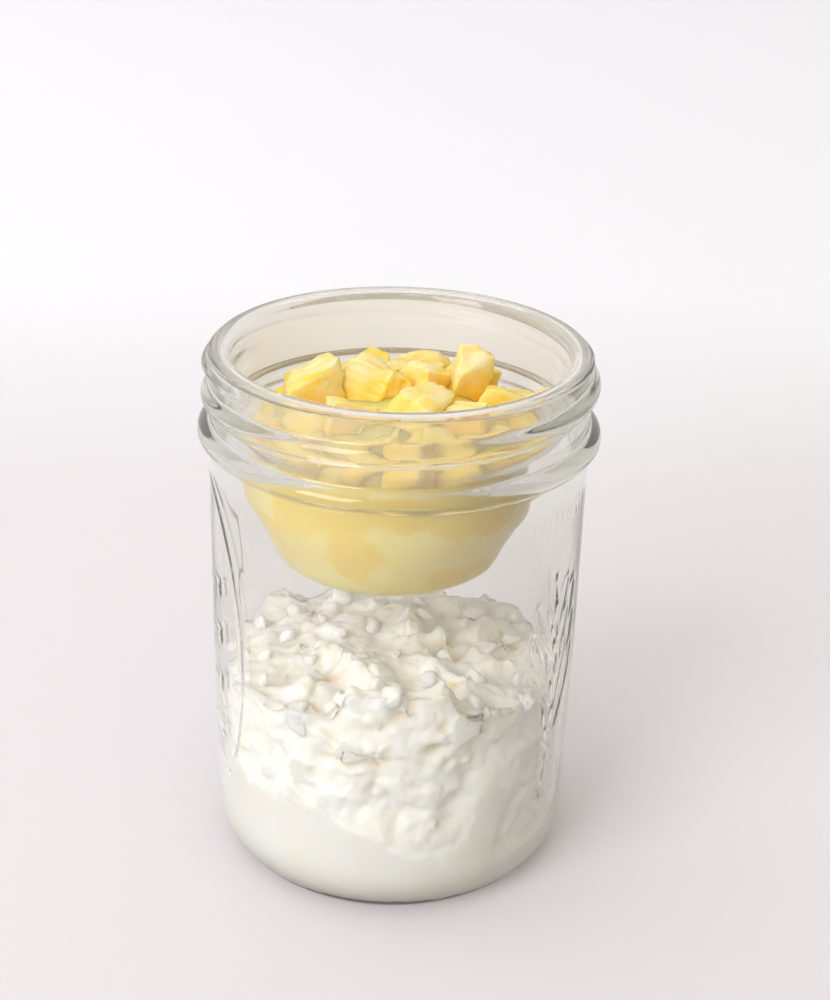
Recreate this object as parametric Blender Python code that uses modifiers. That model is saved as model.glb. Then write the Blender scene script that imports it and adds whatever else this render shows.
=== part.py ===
"""A pint preserving jar of cottage cheese, with a cup of diced pineapple hung in its mouth.

Units are metres and +Z is up.  The origin is the centre of the ring that the jar stands on.
Four pieces, all turned about the Z axis and then worked:

    jar             clear glass, with a screw thread and a bead under its lip
    cottage_cheese  the heaped curds that fill the lower half of the jar
    fruit_cup       the thin clear plastic cup whose flange lies on the jar's lip
    pineapple       the heap of diced pineapple in the cup

Pieces that touch keep a small gap between their surfaces.
"""

import math

import bmesh
import bpy
from mathutils import Vector, noise

MM = 0.001
COLLECTION = "jar_of_cottage_cheese_and_fruit"
THREAD_COLLECTION = "thread_tools"
DICE_COLLECTION = "dice_tools"

SIDES = 48  # facets round every turned piece
MERGE = 0.00001  # merge distance of the turned shapes
TOUCH_GAP = 0.3 * MM  # between pieces that lie on each other

# The jar: outside, from the top down
LIP_TOP_Z = 121.0 * MM
LIP_ROUND = 1.2 * MM
LIP_OUTER_R = 40.8 * MM
NECK_R = 41.7 * MM
NECK_TOP_Z = 117.0 * MM
BEAD_R = 44.3 * MM
BEAD_Z = 103.8 * MM
BEAD_HALF_HEIGHT = 2.8 * MM
BEAD_STEPS = 6
SHOULDER_OUTER_R = 41.85 * MM  # just under the bead
BODY_MIDDLE_R = 41.75 * MM
BODY_MIDDLE_Z = 50.0 * MM
HEEL_R = 41.1 * MM
HEEL_Z = 11.0 * MM
REST_OUTER_R = 33.6 * MM  # the flat ring that the jar stands on
REST_INNER_R = 30.6 * MM
PUNT_R = 26.0 * MM  # the raised middle of the base
PUNT_Z = 1.2 * MM
PUNT_CENTRE_Z = 2.0 * MM

# The jar: inside
MOUTH_R = 38.4 * MM
MOUTH_FOOT_Z = 104.0 * MM
SHOULDER_R = 39.8 * MM
SHOULDER_Z = 94.0 * MM
INNER_MIDDLE_R = 39.3 * MM
INNER_HEEL_R = 39.0 * MM
INNER_HEEL_WIDTH = 6.2 * MM
INNER_HEEL_HEIGHT = 8.6 * MM
FLOOR_EDGE_Z = 3.2 * MM
FLOOR_CENTRE_Z = 4.4 * MM
FLOOR_FALL = 0.2 * MM  # from the centre to half way out

# The screw thread: one ridge that climbs counterclockwise, seen from above
THREAD_PITCH = 7.7 * MM
THREAD_START_DEG = -220.0  # where the ridge runs out below, 0 being +X
THREAD_END_DEG = 225.0
THREAD_START_Z = 111.0 * MM
THREAD_TOP_Z = 119.6 * MM  # the ridge runs out against the lip, and no higher than this
THREAD_FADE_DEG = 40.0
THREAD_ROOT_R = 40.2 * MM  # inside the neck's wall
THREAD_SUNK_R = 40.4 * MM  # where the crest ends up as the ridge runs out
THREAD_CREST_R = 43.4 * MM
THREAD_ROOT_HALF = 3.0 * MM
THREAD_SHOULDER_HALF = 1.9 * MM
THREAD_CREST_HALF = 0.7 * MM
THREAD_SHOULDER_SHARE = 0.6  # of the way from the root to the crest
THREAD_STEPS_PER_TURN = 36

# The fruit cup
FLANGE_TOP_Z = 122.0 * MM
FLANGE_THICK = 0.7 * MM
FLANGE_R = 40.9 * MM
CUP_THICK = 0.7 * MM
CUP_CURL_WIDTH = 2.0 * MM  # where the collar turns over into the flange
CUP_CURL_STEPS = 3
COLLAR_TOP_R = 37.2 * MM  # outside of the wall, at the foot of the curl
COLLAR_TOP_Z = 118.2 * MM
COLLAR_FOOT_R = 36.6 * MM
COLLAR_FOOT_Z = 108.0 * MM
LEDGE_STEPS = 3
BOWL_TOP_R = 31.0 * MM  # under the ledge that the collar ends in
BOWL_TOP_Z = 99.5 * MM
BOWL_LEAN = 2.0 * MM  # how far the bowl hangs towards -X of the collar
BOWL_LEAN_HEIGHT = 10.0 * MM  # over which the wall moves across, under the collar
CUP_WAIST_R = 30.2 * MM
CUP_WAIST_Z = 88.0 * MM
CUP_FOOT_R = 26.6 * MM
CUP_FOOT_Z = 77.2 * MM
CUP_BASE_R = 19.5 * MM
CUP_BASE_Z = 72.2 * MM

# The cottage cheese
CHEESE_SIDE_Z = 30.0 * MM  # the curds are level up to here and heaped above
CHEESE_CENTRE_Z = 54.0 * MM
CHEESE_FRONT_Z = 57.5 * MM
CHEESE_BACK_Z = 45.0 * MM
CHEESE_LEFT_Z = 49.0 * MM
CHEESE_RIGHT_Z = 50.5 * MM
CHEESE_HIGHEST_Z = 59.5 * MM
CHEESE_RINGS = 11
CHEESE_EDGE_ROUND = 1.2 * MM
CURD_SIZE = 9.0 * MM
CURD_RELIEF = 3.4 * MM

# The pineapple: a bed that fills the cup, with dice sunk into its top
BED_SIDE_Z = 96.0 * MM
BED_EDGE_Z = 101.0 * MM
BED_CENTRE_Z = 106.0 * MM
BED_EDGE_INSET = 1.0 * MM
BED_RINGS = 5
GOLDEN_ANGLE_DEG = 137.5  # from each die to the next, which spreads them evenly
DICE_COUNT = 15
DICE_MIDDLE_X = -1.0 * MM
DICE_SPREAD_R = 22.3 * MM
DICE_TOP_EDGE_Z = 110.0 * MM
DICE_TOP_CENTRE_Z = 115.0 * MM
DICE_SIZE = 11.5 * MM
DICE_HEIGHT = 15.0 * MM  # down into the bed, which leaves no hollow under a die
DICE_SIZE_SPREAD = 1.8 * MM
DICE_TILT_DEG = 12.0
DICE_TURN_DEG = 61.0  # each die is turned this much more than the last
TALL_DIE_PLACE = (14.0 * MM, 11.5 * MM, 111.8 * MM)
TALL_DIE_SIZE = (9.0 * MM, 9.0 * MM, 11.4 * MM)
TALL_DIE_TURN_DEG = 12.0


def clear_scene():
    """Remove every object, so that the model starts empty."""
    for item in list(bpy.data.objects):
        bpy.data.objects.remove(item, do_unlink=True)


def new_collection(name):
    """Return a new collection linked to the scene."""
    group = bpy.data.collections.new(name)
    bpy.context.scene.collection.children.link(group)
    return group


def new_material(name, colour, roughness, transmission=0.0, ior=1.45):
    """Return a Principled material with the piece's own colour and finish."""
    material = bpy.data.materials.new(name)
    material.use_nodes = True
    shader = material.node_tree.nodes["Principled BSDF"]
    shader.inputs["Base Color"].default_value = (*colour, 1.0)
    shader.inputs["Roughness"].default_value = roughness
    shader.inputs["Metallic"].default_value = 0.0
    shader.inputs["Transmission Weight"].default_value = transmission
    shader.inputs["IOR"].default_value = ior
    return material


def arc(centre, radii, start_deg, end_deg, steps):
    """Return points (r, z) on an elliptical arc, both ends included."""
    points = []
    for step in range(steps + 1):
        angle = math.radians(start_deg + (end_deg - start_deg) * step / steps)
        points.append((centre[0] + radii[0] * math.cos(angle), centre[1] + radii[1] * math.sin(angle)))
    return points


def bulge(top, bottom, crest_r, steps):
    """Return points (r, z) from top down to bottom, both included, that swell out between them to crest_r."""
    points = []
    for step in range(steps + 1):
        share = step / steps
        root_r = top[0] + (bottom[0] - top[0]) * share
        swell = 4.0 * share * (1.0 - share)
        points.append((root_r + (crest_r - root_r) * swell, top[1] + (bottom[1] - top[1]) * share))
    return points


def turned_mesh(name, profile):
    """Return a mesh that turns a profile of (r, z) points, its ends on the Z axis, through a full circle."""
    outline = bpy.data.meshes.new(name + "_profile")
    edges = [(index, index + 1) for index in range(len(profile) - 1)]
    outline.from_pydata([(r, 0.0, z) for r, z in profile], edges, [])
    turned = bpy.data.objects.new(name + "_profile", outline)
    bpy.context.scene.collection.objects.link(turned)
    screw = turned.modifiers.new("Turn", "SCREW")
    screw.axis = "Z"
    screw.angle = math.tau
    screw.steps = SIDES
    screw.render_steps = SIDES
    screw.use_merge_vertices = True
    screw.merge_threshold = MERGE
    mesh = evaluated_mesh(turned)
    bpy.data.objects.remove(turned, do_unlink=True)
    return mesh


def evaluated_mesh(item):
    """Return a new mesh that holds an object's shape with its modifiers applied."""
    bpy.context.view_layer.update()
    graph = bpy.context.evaluated_depsgraph_get()
    mesh = bpy.data.meshes.new_from_object(item.evaluated_get(graph))
    work = bmesh.new()
    work.from_mesh(mesh)
    bmesh.ops.remove_doubles(work, verts=work.verts, dist=MERGE)
    work.to_mesh(mesh)
    work.free()
    return mesh


def add_piece(name, mesh, material, collection):
    """Link a named object that holds mesh, smooth except at its sharp edges."""
    mesh.name = name
    mesh.materials.clear()
    mesh.materials.append(material)
    mesh.shade_smooth()
    mesh.set_sharp_from_angle(angle=math.radians(40.0))
    piece = bpy.data.objects.new(name, mesh)
    collection.objects.link(piece)
    return piece


def jar_profile():
    """Return the jar's section, from the middle of its floor over the lip to the middle of its base."""
    points = [(0.0, FLOOR_CENTRE_Z), (0.5 * PUNT_R, FLOOR_CENTRE_Z - FLOOR_FALL)]
    points += inner_wall_points()
    round_z = LIP_TOP_Z - LIP_ROUND
    points += arc((MOUTH_R + LIP_ROUND, round_z), (LIP_ROUND, LIP_ROUND), 180.0, 90.0, 3)
    points += arc((LIP_OUTER_R - LIP_ROUND, round_z), (LIP_ROUND, LIP_ROUND), 90.0, 0.0, 3)
    points += [(NECK_R, NECK_TOP_Z)]
    bead_top = (NECK_R, BEAD_Z + BEAD_HALF_HEIGHT)
    bead_foot = (SHOULDER_OUTER_R, BEAD_Z - BEAD_HALF_HEIGHT)
    points += bulge(bead_top, bead_foot, BEAD_R, BEAD_STEPS)
    points += [(BODY_MIDDLE_R, BODY_MIDDLE_Z)]
    heel_radii = (HEEL_R - REST_OUTER_R, HEEL_Z)
    points += arc((REST_OUTER_R, HEEL_Z), heel_radii, 0.0, -90.0, 5)
    points += [(REST_INNER_R, 0.0), (PUNT_R, PUNT_Z), (0.0, PUNT_CENTRE_Z)]
    return points


def inner_wall_points(clearance=0.0):
    """Return the inner heel and wall of the jar from the floor up, moved inwards by clearance."""
    heel_centre = (INNER_HEEL_R - INNER_HEEL_WIDTH, FLOOR_EDGE_Z + INNER_HEEL_HEIGHT)
    heel_radii = (INNER_HEEL_WIDTH - clearance, INNER_HEEL_HEIGHT - clearance)
    points = arc(heel_centre, heel_radii, -90.0, 0.0, 4)
    points += [(INNER_MIDDLE_R - clearance, BODY_MIDDLE_Z)]
    points += [(SHOULDER_R - clearance, SHOULDER_Z), (MOUTH_R - clearance, MOUTH_FOOT_Z)]
    return points


def thread_mesh():
    """Return the thread's ridge: a tapering helix of rounded sections, closed at both ends."""
    turn_deg = THREAD_END_DEG - THREAD_START_DEG
    steps = round(THREAD_STEPS_PER_TURN * turn_deg / 360.0)
    work = bmesh.new()
    rings = []
    for step in range(steps + 1):
        travelled = turn_deg * step / steps
        angle = math.radians(THREAD_START_DEG + travelled)
        fade = min(1.0, travelled / THREAD_FADE_DEG, (turn_deg - travelled) / THREAD_FADE_DEG)
        height = fade * fade * (3.0 - 2.0 * fade)
        centre_z = THREAD_START_Z + THREAD_PITCH * travelled / 360.0
        ring = []
        for radius, offset in thread_section(height):
            z = min(centre_z + offset, THREAD_TOP_Z)
            ring.append(work.verts.new((radius * math.cos(angle), radius * math.sin(angle), z)))
        rings.append(ring)
    for near, far in zip(rings, rings[1:]):
        for index in range(len(near)):
            after = (index + 1) % len(near)
            work.faces.new((near[index], near[after], far[after], far[index]))
    work.faces.new(rings[0][::-1])
    work.faces.new(rings[-1])
    bmesh.ops.recalc_face_normals(work, faces=work.faces)
    mesh = bpy.data.meshes.new("thread_ridge")
    work.to_mesh(mesh)
    work.free()
    return mesh


def thread_section(height):
    """Return the ridge's section as (radius, z offset) points, for a height between 0, sunk, and 1."""
    crest_r = THREAD_SUNK_R + height * (THREAD_CREST_R - THREAD_SUNK_R)
    shoulder_r = THREAD_ROOT_R + THREAD_SHOULDER_SHARE * (crest_r - THREAD_ROOT_R)
    lower = [
        (THREAD_ROOT_R, -THREAD_ROOT_HALF),
        (shoulder_r, -THREAD_SHOULDER_HALF),
        (crest_r, -THREAD_CREST_HALF),
    ]
    return lower + [(radius, -offset) for radius, offset in reversed(lower)]


def add_jar(parts, tools):
    """Add the glass jar: the turned body with the thread's ridge joined to its neck."""
    glass = new_material("clear_glass", (0.93, 0.95, 0.93), 0.03, transmission=1.0, ior=1.52)
    jar = add_piece("jar", turned_mesh("jar", jar_profile()), glass, parts)
    ridge = bpy.data.objects.new("thread_ridge", thread_mesh())
    tools.objects.link(ridge)
    ridge.hide_render = True
    ridge.display_type = "WIRE"
    union = jar.modifiers.new("Thread", "BOOLEAN")
    union.operation = "UNION"
    union.solver = "EXACT"
    union.object = ridge
    return jar


def cheese_level(x, y):
    """Return the height of the heaped curds over a point, before their own relief."""
    reach = min(1.0, math.hypot(x, y) / INNER_MIDDLE_R)
    angle = math.atan2(y, x)
    across = CHEESE_RIGHT_Z if math.cos(angle) > 0.0 else CHEESE_LEFT_Z
    along = CHEESE_BACK_Z if math.sin(angle) > 0.0 else CHEESE_FRONT_Z
    wall_z = across * math.cos(angle) ** 2 + along * math.sin(angle) ** 2
    return CHEESE_CENTRE_Z + (wall_z - CHEESE_CENTRE_Z) * reach * reach


def lumps(x, y, size, relief):
    """Return the relief of rounded lumps of one size, the same on every run."""
    place = Vector((x / size, y / size, 0.0))
    nearest = noise.voronoi(place)[0][0]
    return relief * (0.5 - nearest) + 0.5 * relief * noise.noise(2.0 * place)


def heap(mesh, side_z, level):
    """Stretch all that stands above side_z so that the flat top follows the level function."""
    top_z = max(vertex.co.z for vertex in mesh.vertices)
    for vertex in mesh.vertices:
        place = vertex.co
        if place.z > side_z:
            share = (place.z - side_z) / (top_z - side_z)
            place.z = side_z + share * (level(place.x, place.y) - side_z)
    mesh.update()


def radius_at(wall, z):
    """Return the radius at height z of a wall given as (r, z) points from the bottom up."""
    for (low_r, low_z), (high_r, high_z) in zip(wall, wall[1:]):
        if low_z <= z <= high_z:
            return low_r + (high_r - low_r) * (z - low_z) / (high_z - low_z)
    raise ValueError("the wall doesn't reach this height")


def add_cottage_cheese(parts):
    """Add the curds: they fill the jar to its wall and are heaped and lumpy on top."""
    wall = inner_wall_points(TOUCH_GAP)
    flat_z = CHEESE_CENTRE_Z
    edge_r = radius_at(wall, CHEESE_BACK_Z)
    inner_r = edge_r - CHEESE_EDGE_ROUND
    profile = [(inner_r * ring / CHEESE_RINGS, flat_z) for ring in range(CHEESE_RINGS + 1)]
    profile += [(edge_r, flat_z - CHEESE_EDGE_ROUND), (radius_at(wall, CHEESE_SIDE_Z), CHEESE_SIDE_Z)]
    profile += [(r, z) for r, z in reversed(wall) if z < CHEESE_SIDE_Z]
    profile += [(0.5 * PUNT_R, FLOOR_CENTRE_Z - FLOOR_FALL + TOUCH_GAP), (0.0, FLOOR_CENTRE_Z + TOUCH_GAP)]
    mesh = turned_mesh("cottage_cheese", profile)
    heap(
        mesh,
        CHEESE_SIDE_Z,
        lambda x, y: min(CHEESE_HIGHEST_Z, cheese_level(x, y) + lumps(x, y, CURD_SIZE, CURD_RELIEF)),
    )
    cream = new_material("cottage_cheese", (0.93, 0.91, 0.85), 0.4)
    return add_piece("cottage_cheese", mesh, cream, parts)


def ledge():
    """Return points (r, z) down the outside of the soft ledge between the collar and the bowl."""
    points = []
    for step in range(LEDGE_STEPS + 1):
        share = step / LEDGE_STEPS
        turned_in = share * share * (3.0 - 2.0 * share)
        radius = COLLAR_FOOT_R + (BOWL_TOP_R - COLLAR_FOOT_R) * turned_in
        points.append((radius, COLLAR_FOOT_Z + (BOWL_TOP_Z - COLLAR_FOOT_Z) * share))
    return points


def bowl(inset):
    """Return the bowl's wall from its top down to the middle of its base, moved inwards by inset."""
    foot_r = CUP_FOOT_R - 0.5 * inset
    base_r = CUP_BASE_R - 0.5 * inset
    radii = (foot_r - base_r, CUP_FOOT_Z - CUP_BASE_Z)
    points = [(BOWL_TOP_R - inset, BOWL_TOP_Z), (CUP_WAIST_R - inset, CUP_WAIST_Z)]
    points += arc((base_r, CUP_FOOT_Z + inset), radii, 0.0, -90.0, 4)
    points += [(0.0, CUP_BASE_Z + inset)]
    return points


def curl(inset, top_z):
    """Return the turn from the flange down to the collar's top, moved inwards by inset, ending up at top_z."""
    centre = (COLLAR_TOP_R - inset + CUP_CURL_WIDTH, COLLAR_TOP_Z)
    return arc(centre, (CUP_CURL_WIDTH, top_z - COLLAR_TOP_Z), 90.0, 180.0, CUP_CURL_STEPS)


def lean_over(mesh):
    """Move the bowl, or what lies in it, a little towards -X under the collar."""
    for vertex in mesh.vertices:
        depth = (COLLAR_FOOT_Z - vertex.co.z) / BOWL_LEAN_HEIGHT
        share = min(1.0, max(0.0, depth))
        vertex.co.x -= BOWL_LEAN * share * share * (3.0 - 2.0 * share)
    mesh.update()


def add_fruit_cup(parts):
    """Add the plastic cup: a bowl, a ledge, a wider collar and a flange that lies on the jar's lip."""
    inside = curl(CUP_THICK, FLANGE_TOP_Z)
    inside += [(r - CUP_THICK, z) for r, z in ledge()[:-1]] + bowl(CUP_THICK)
    outside = curl(0.0, FLANGE_TOP_Z - FLANGE_THICK) + ledge()[:-1] + bowl(0.0)
    flange_round = 0.5 * FLANGE_THICK
    flange_centre = (FLANGE_R - flange_round, FLANGE_TOP_Z - flange_round)
    profile = inside[::-1]
    profile += arc(flange_centre, (flange_round, flange_round), 90.0, -90.0, 2)
    profile += outside
    clear_plastic = new_material("clear_plastic", (0.95, 0.95, 0.94), 0.12, transmission=0.9, ior=1.49)
    mesh = turned_mesh("fruit_cup", profile)
    lean_over(mesh)
    return add_piece("fruit_cup", mesh, clear_plastic, parts)


def bed_level(x, y):
    """Return the height of the fruit's bed over a point: a mound that falls towards the cup's wall."""
    reach = min(1.0, math.hypot(x, y) / CUP_WAIST_R)
    return BED_CENTRE_Z + (BED_EDGE_Z - BED_CENTRE_Z) * reach * reach


def add_die(name, place, sizes, turn_deg, tilt_deg, tools):
    """Add one die of fruit as a tool: a box with its own turn about Z and tilt about X."""
    work = bmesh.new()
    bmesh.ops.create_cube(work, size=1.0)
    bmesh.ops.scale(work, vec=sizes, verts=work.verts)
    mesh = bpy.data.meshes.new(name)
    work.to_mesh(mesh)
    work.free()
    die = bpy.data.objects.new(name, mesh)
    die.location = place
    die.rotation_euler = (math.radians(tilt_deg), 0.0, math.radians(turn_deg))
    die.hide_render = True
    die.display_type = "WIRE"
    tools.objects.link(die)
    return die


def add_dice(tools):
    """Add the dice that stand out of the bed: a spiral of small ones and one tall one behind."""
    for index in range(DICE_COUNT):
        share = math.sqrt((index + 0.5) / DICE_COUNT)
        angle = math.radians(GOLDEN_ANGLE_DEG * index)
        radius = DICE_SPREAD_R * share
        top_z = DICE_TOP_CENTRE_Z + (DICE_TOP_EDGE_Z - DICE_TOP_CENTRE_Z) * share * share
        size = DICE_SIZE + DICE_SIZE_SPREAD * math.sin(2.3 * index)
        x = DICE_MIDDLE_X + radius * math.cos(angle)
        place = (x, radius * math.sin(angle), top_z - 0.5 * DICE_HEIGHT)
        sizes = (size, 0.9 * size, DICE_HEIGHT)
        tilt_deg = DICE_TILT_DEG * math.sin(1.7 * index)
        add_die(f"die_{index:02d}", place, sizes, DICE_TURN_DEG * index, tilt_deg, tools)
    add_die("tall_die", TALL_DIE_PLACE, TALL_DIE_SIZE, TALL_DIE_TURN_DEG, 0.0, tools)


def add_pineapple(parts, tools):
    """Add the diced pineapple: a bed that fills the cup and the dice heaped on it, in one body."""
    wall = bowl(CUP_THICK + TOUCH_GAP)
    side_r = radius_at(wall[1::-1], BED_SIDE_Z)
    top_r = side_r - BED_EDGE_INSET
    profile = [(top_r * ring / BED_RINGS, BED_CENTRE_Z) for ring in range(BED_RINGS + 1)]
    profile += [(side_r, BED_SIDE_Z)] + wall[1:]
    mesh = turned_mesh("pineapple", profile)
    heap(mesh, BED_SIDE_Z, bed_level)
    lean_over(mesh)
    fruit = new_material("pineapple", (0.93, 0.72, 0.2), 0.3)
    pineapple = add_piece("pineapple", mesh, fruit, parts)
    add_dice(tools)
    union = pineapple.modifiers.new("Dice", "BOOLEAN")
    union.operation = "UNION"
    union.solver = "EXACT"
    union.operand_type = "COLLECTION"
    union.collection = tools
    return pineapple


def main():
    """Build the jar, its two fillings and the cup."""
    clear_scene()
    parts = new_collection(COLLECTION)
    add_jar(parts, new_collection(THREAD_COLLECTION))
    add_cottage_cheese(parts)
    add_fruit_cup(parts)
    add_pineapple(parts, new_collection(DICE_COLLECTION))


main()
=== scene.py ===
"""The looks of a jar of cottage cheese with a cup of pineapple pieces hung in its mouth.

Units are metres and +Z is up.  The jar stands on its base ring at the origin, and its front faces -Y.
Each sub-assembly is a class that holds its sizes, models its meshes and dresses them.  Every piece
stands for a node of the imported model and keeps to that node's place.
"""

from __future__ import annotations

import logging
import math
import random
from contextlib import contextmanager
from dataclasses import dataclass, field
from enum import Enum
from itertools import pairwise, product
from typing import Iterator, Sequence

import bpy
import numpy as np
from mathutils import Euler, Matrix, Vector, noise

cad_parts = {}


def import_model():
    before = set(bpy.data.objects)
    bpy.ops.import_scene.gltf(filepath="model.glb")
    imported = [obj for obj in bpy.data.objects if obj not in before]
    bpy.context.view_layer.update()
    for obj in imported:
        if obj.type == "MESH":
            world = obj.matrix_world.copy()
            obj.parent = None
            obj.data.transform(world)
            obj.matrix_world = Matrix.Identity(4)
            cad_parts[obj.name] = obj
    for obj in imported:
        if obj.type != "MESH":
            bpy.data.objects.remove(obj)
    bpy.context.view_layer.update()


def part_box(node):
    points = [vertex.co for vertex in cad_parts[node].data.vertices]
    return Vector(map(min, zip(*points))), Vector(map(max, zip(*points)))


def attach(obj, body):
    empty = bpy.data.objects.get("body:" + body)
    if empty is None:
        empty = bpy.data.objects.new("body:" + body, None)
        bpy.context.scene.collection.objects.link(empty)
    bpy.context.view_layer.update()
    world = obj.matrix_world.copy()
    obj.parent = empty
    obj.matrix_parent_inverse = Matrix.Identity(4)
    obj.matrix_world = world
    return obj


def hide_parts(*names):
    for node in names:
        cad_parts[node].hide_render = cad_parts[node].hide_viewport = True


MM = 0.001
BODY = "root"
MERGE = 0.000001
FIBRE_ATTRIBUTE = "fibre"
CREASE_SHADE_ATTRIBUTE = "crease_shade"
LOG = logging.getLogger("jar")

Point = tuple[float, float]
Place = tuple[float, float, float]
Colour = tuple[float, float, float]
Stops = Sequence[tuple[float, Colour]]
Piece = bpy.types.Object
Node = bpy.types.Node
Socket = bpy.types.NodeSocket


# --------------------------------------------------------------------------------------------------
# Modelling by hand
# --------------------------------------------------------------------------------------------------


def select_only(item: Piece) -> None:
    """Makes one object the only selected one, and the active one."""
    bpy.ops.object.select_all(action="DESELECT")
    item.select_set(True)
    bpy.context.view_layer.objects.active = item


@contextmanager
def editing(item: Piece) -> Iterator[None]:
    """Keeps an object in edit mode, with all of it selected at the start.

    Args:
        item: The mesh object to edit.
    """
    select_only(item)
    bpy.ops.object.mode_set(mode="EDIT")
    bpy.ops.mesh.select_mode(type="VERT")
    bpy.ops.mesh.select_all(action="SELECT")
    try:
        yield
    finally:
        bpy.ops.object.mode_set(mode="OBJECT")


def places_of(item: Piece) -> np.ndarray:
    """Returns the places of an object's vertices, one row for each."""
    flat = np.empty(3 * len(item.data.vertices))
    item.data.vertices.foreach_get("co", flat)
    return flat.reshape(-1, 3)


def normals_of(item: Piece) -> np.ndarray:
    """Returns the outward directions of an object's vertices, one row for each."""
    flat = np.empty(3 * len(item.data.vertices))
    item.data.vertex_normals.foreach_get("vector", flat)
    return flat.reshape(-1, 3)


def move_vertices(item: Piece, places: np.ndarray) -> None:
    """Puts an object's vertices at new places, one row for each."""
    item.data.vertices.foreach_set("co", places.ravel())
    item.data.update()


def radii_of(places: np.ndarray) -> np.ndarray:
    """Returns how far each place is from the upright axis."""
    return np.hypot(places[:, 0], places[:, 1])


def widen(places: np.ndarray, scale: np.ndarray) -> None:
    """Moves places out from the upright axis, or towards it, each by its own scale."""
    places[:, :2] *= scale[:, None]


def triangles_in(item: Piece) -> int:
    """Returns how many triangles an object's mesh comes to."""
    return sum(len(face.vertices) - 2 for face in item.data.polygons)


def speck(name: str, place: Place) -> Piece:
    """Adds a tiny square at a place, to be merged into a point and drawn out."""
    bpy.ops.object.select_all(action="DESELECT")
    bpy.ops.mesh.primitive_plane_add(size=MM, location=place)
    item = bpy.context.object
    item.name = name
    bpy.ops.object.transform_apply(location=True)
    return item


def draw_out(steps: Sequence[Place]) -> None:
    """Extrudes what is selected in edit mode, step after step."""
    for step in steps:
        bpy.ops.mesh.extrude_region_move(TRANSFORM_OT_translate={"value": step})


def turned(name: str, outline: Sequence[Point], steps: int) -> Piece:
    """Spins an outline about the upright axis into a closed skin.

    Args:
        name: The new object's name.
        outline: Points of (radius, height), both ends on the axis, inside first.
        steps: How many columns of faces go round.

    Returns:
        The new object, at the origin, with its faces pointing out.
    """
    item = speck(name, (outline[0][0], 0.0, outline[0][1]))
    with editing(item):
        bpy.ops.mesh.merge(type="CENTER")
        draw_out([(far[0] - near[0], 0.0, far[1] - near[1]) for near, far in pairwise(outline)])
        bpy.ops.mesh.select_all(action="SELECT")
        bpy.ops.mesh.spin(steps=steps, angle=math.tau, center=(0.0, 0.0, 0.0), axis=(0.0, 0.0, 1.0))
        bpy.ops.mesh.select_all(action="SELECT")
        bpy.ops.mesh.remove_doubles(threshold=MERGE)
        bpy.ops.mesh.normals_make_consistent(inside=False)
    return item


def joined(name: str, items: Sequence[Piece]) -> Piece:
    """Joins objects into the first of them and names the result."""
    bpy.ops.object.select_all(action="DESELECT")
    for item in items:
        item.select_set(True)
    bpy.context.view_layer.objects.active = items[0]
    bpy.ops.object.join()
    items[0].name = name
    return items[0]


def copy_at(mould: Piece, place: Matrix) -> Piece:
    """Returns a copy of a modelled shape, with its own mesh moved to a place."""
    copy = mould.copy()
    copy.data = mould.data.copy()
    copy.data.transform(place)
    bpy.context.scene.collection.objects.link(copy)
    return copy


def discard(items: Sequence[Piece]) -> None:
    """Removes objects that only served to make others."""
    for item in items:
        bpy.data.objects.remove(item, do_unlink=True)


def smooth(item: Piece) -> None:
    """Shades an object smooth all over."""
    select_only(item)
    bpy.ops.object.shade_smooth()


def between(start: float, end: float, share: float) -> float:
    """Returns the value that lies a share of the way between two."""
    return start + (end - start) * share


def shares_along(start: Point, end: Point, pitch: float, fewest: int) -> list[float]:
    """Returns even shares after 0 and up to 1 of the way between two points, about a pitch apart."""
    steps = max(fewest, round(math.dist(start, end) / pitch))
    return [step / steps for step in range(1, steps + 1)]


def run(start: Point, end: Point, pitch: float) -> list[Point]:
    """Returns evenly spaced points after start and up to end."""
    shares = shares_along(start, end, pitch, 1)
    return [(between(start[0], end[0], s), between(start[1], end[1], s)) for s in shares]


def flank(start: Point, end: Point, pitch: float) -> list[Point]:
    """Returns points after start and up to end on an S-shaped flank whose ends run upright."""
    shares = shares_along(start, end, pitch, 2)
    eased = [s * s * (3.0 - 2.0 * s) for s in shares]
    return [(between(start[0], end[0], e), between(start[1], end[1], s)) for s, e in zip(shares, eased)]


def swelling(start: Point, end: Point, crest_radius: float, pitch: float) -> list[Point]:
    """Returns points after start and up to end that swell out to a radius half way between them."""
    points = []
    for share in shares_along(start, end, pitch, 4):
        radius = between(between(start[0], end[0], share), crest_radius, 4.0 * share * (1.0 - share))
        points.append((radius, between(start[1], end[1], share)))
    return points


def arc(centre: Point, radii: Point, start: float, end: float, steps: int) -> list[Point]:
    """Returns points on an elliptical arc.

    Args:
        centre: The arc's centre, as (radius, height).
        radii: The arc's own two radii.
        start: Where it starts, in degrees, counterclockwise from outwards.
        end: Where it ends, in degrees.
        steps: How many chords it has.

    Returns:
        The points, both ends included.
    """
    angles = [math.radians(start + (end - start) * step / steps) for step in range(steps + 1)]
    return [(centre[0] + radii[0] * math.cos(a), centre[1] + radii[1] * math.sin(a)) for a in angles]


def curve_through(points: Sequence[Point], steps: int) -> list[Point]:
    """Returns a smooth curve through points, with so many chords between each two."""
    before = (2 * points[0][0] - points[1][0], 2 * points[0][1] - points[1][1])
    after = (2 * points[-1][0] - points[-2][0], 2 * points[-1][1] - points[-2][1])
    padded = np.array([before, *points, after])
    curve = [tuple(points[0])]
    for a, b, c, d in zip(padded, padded[1:], padded[2:], padded[3:]):
        for step in range(1, steps + 1):
            t = step / steps
            bend = (2 * a - 5 * b + 4 * c - d) * t**2 + (3 * b - a - 3 * c + d) * t**3
            curve.append(tuple(map(float, 0.5 * (2 * b + (c - a) * t + bend))))
    return curve


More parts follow.
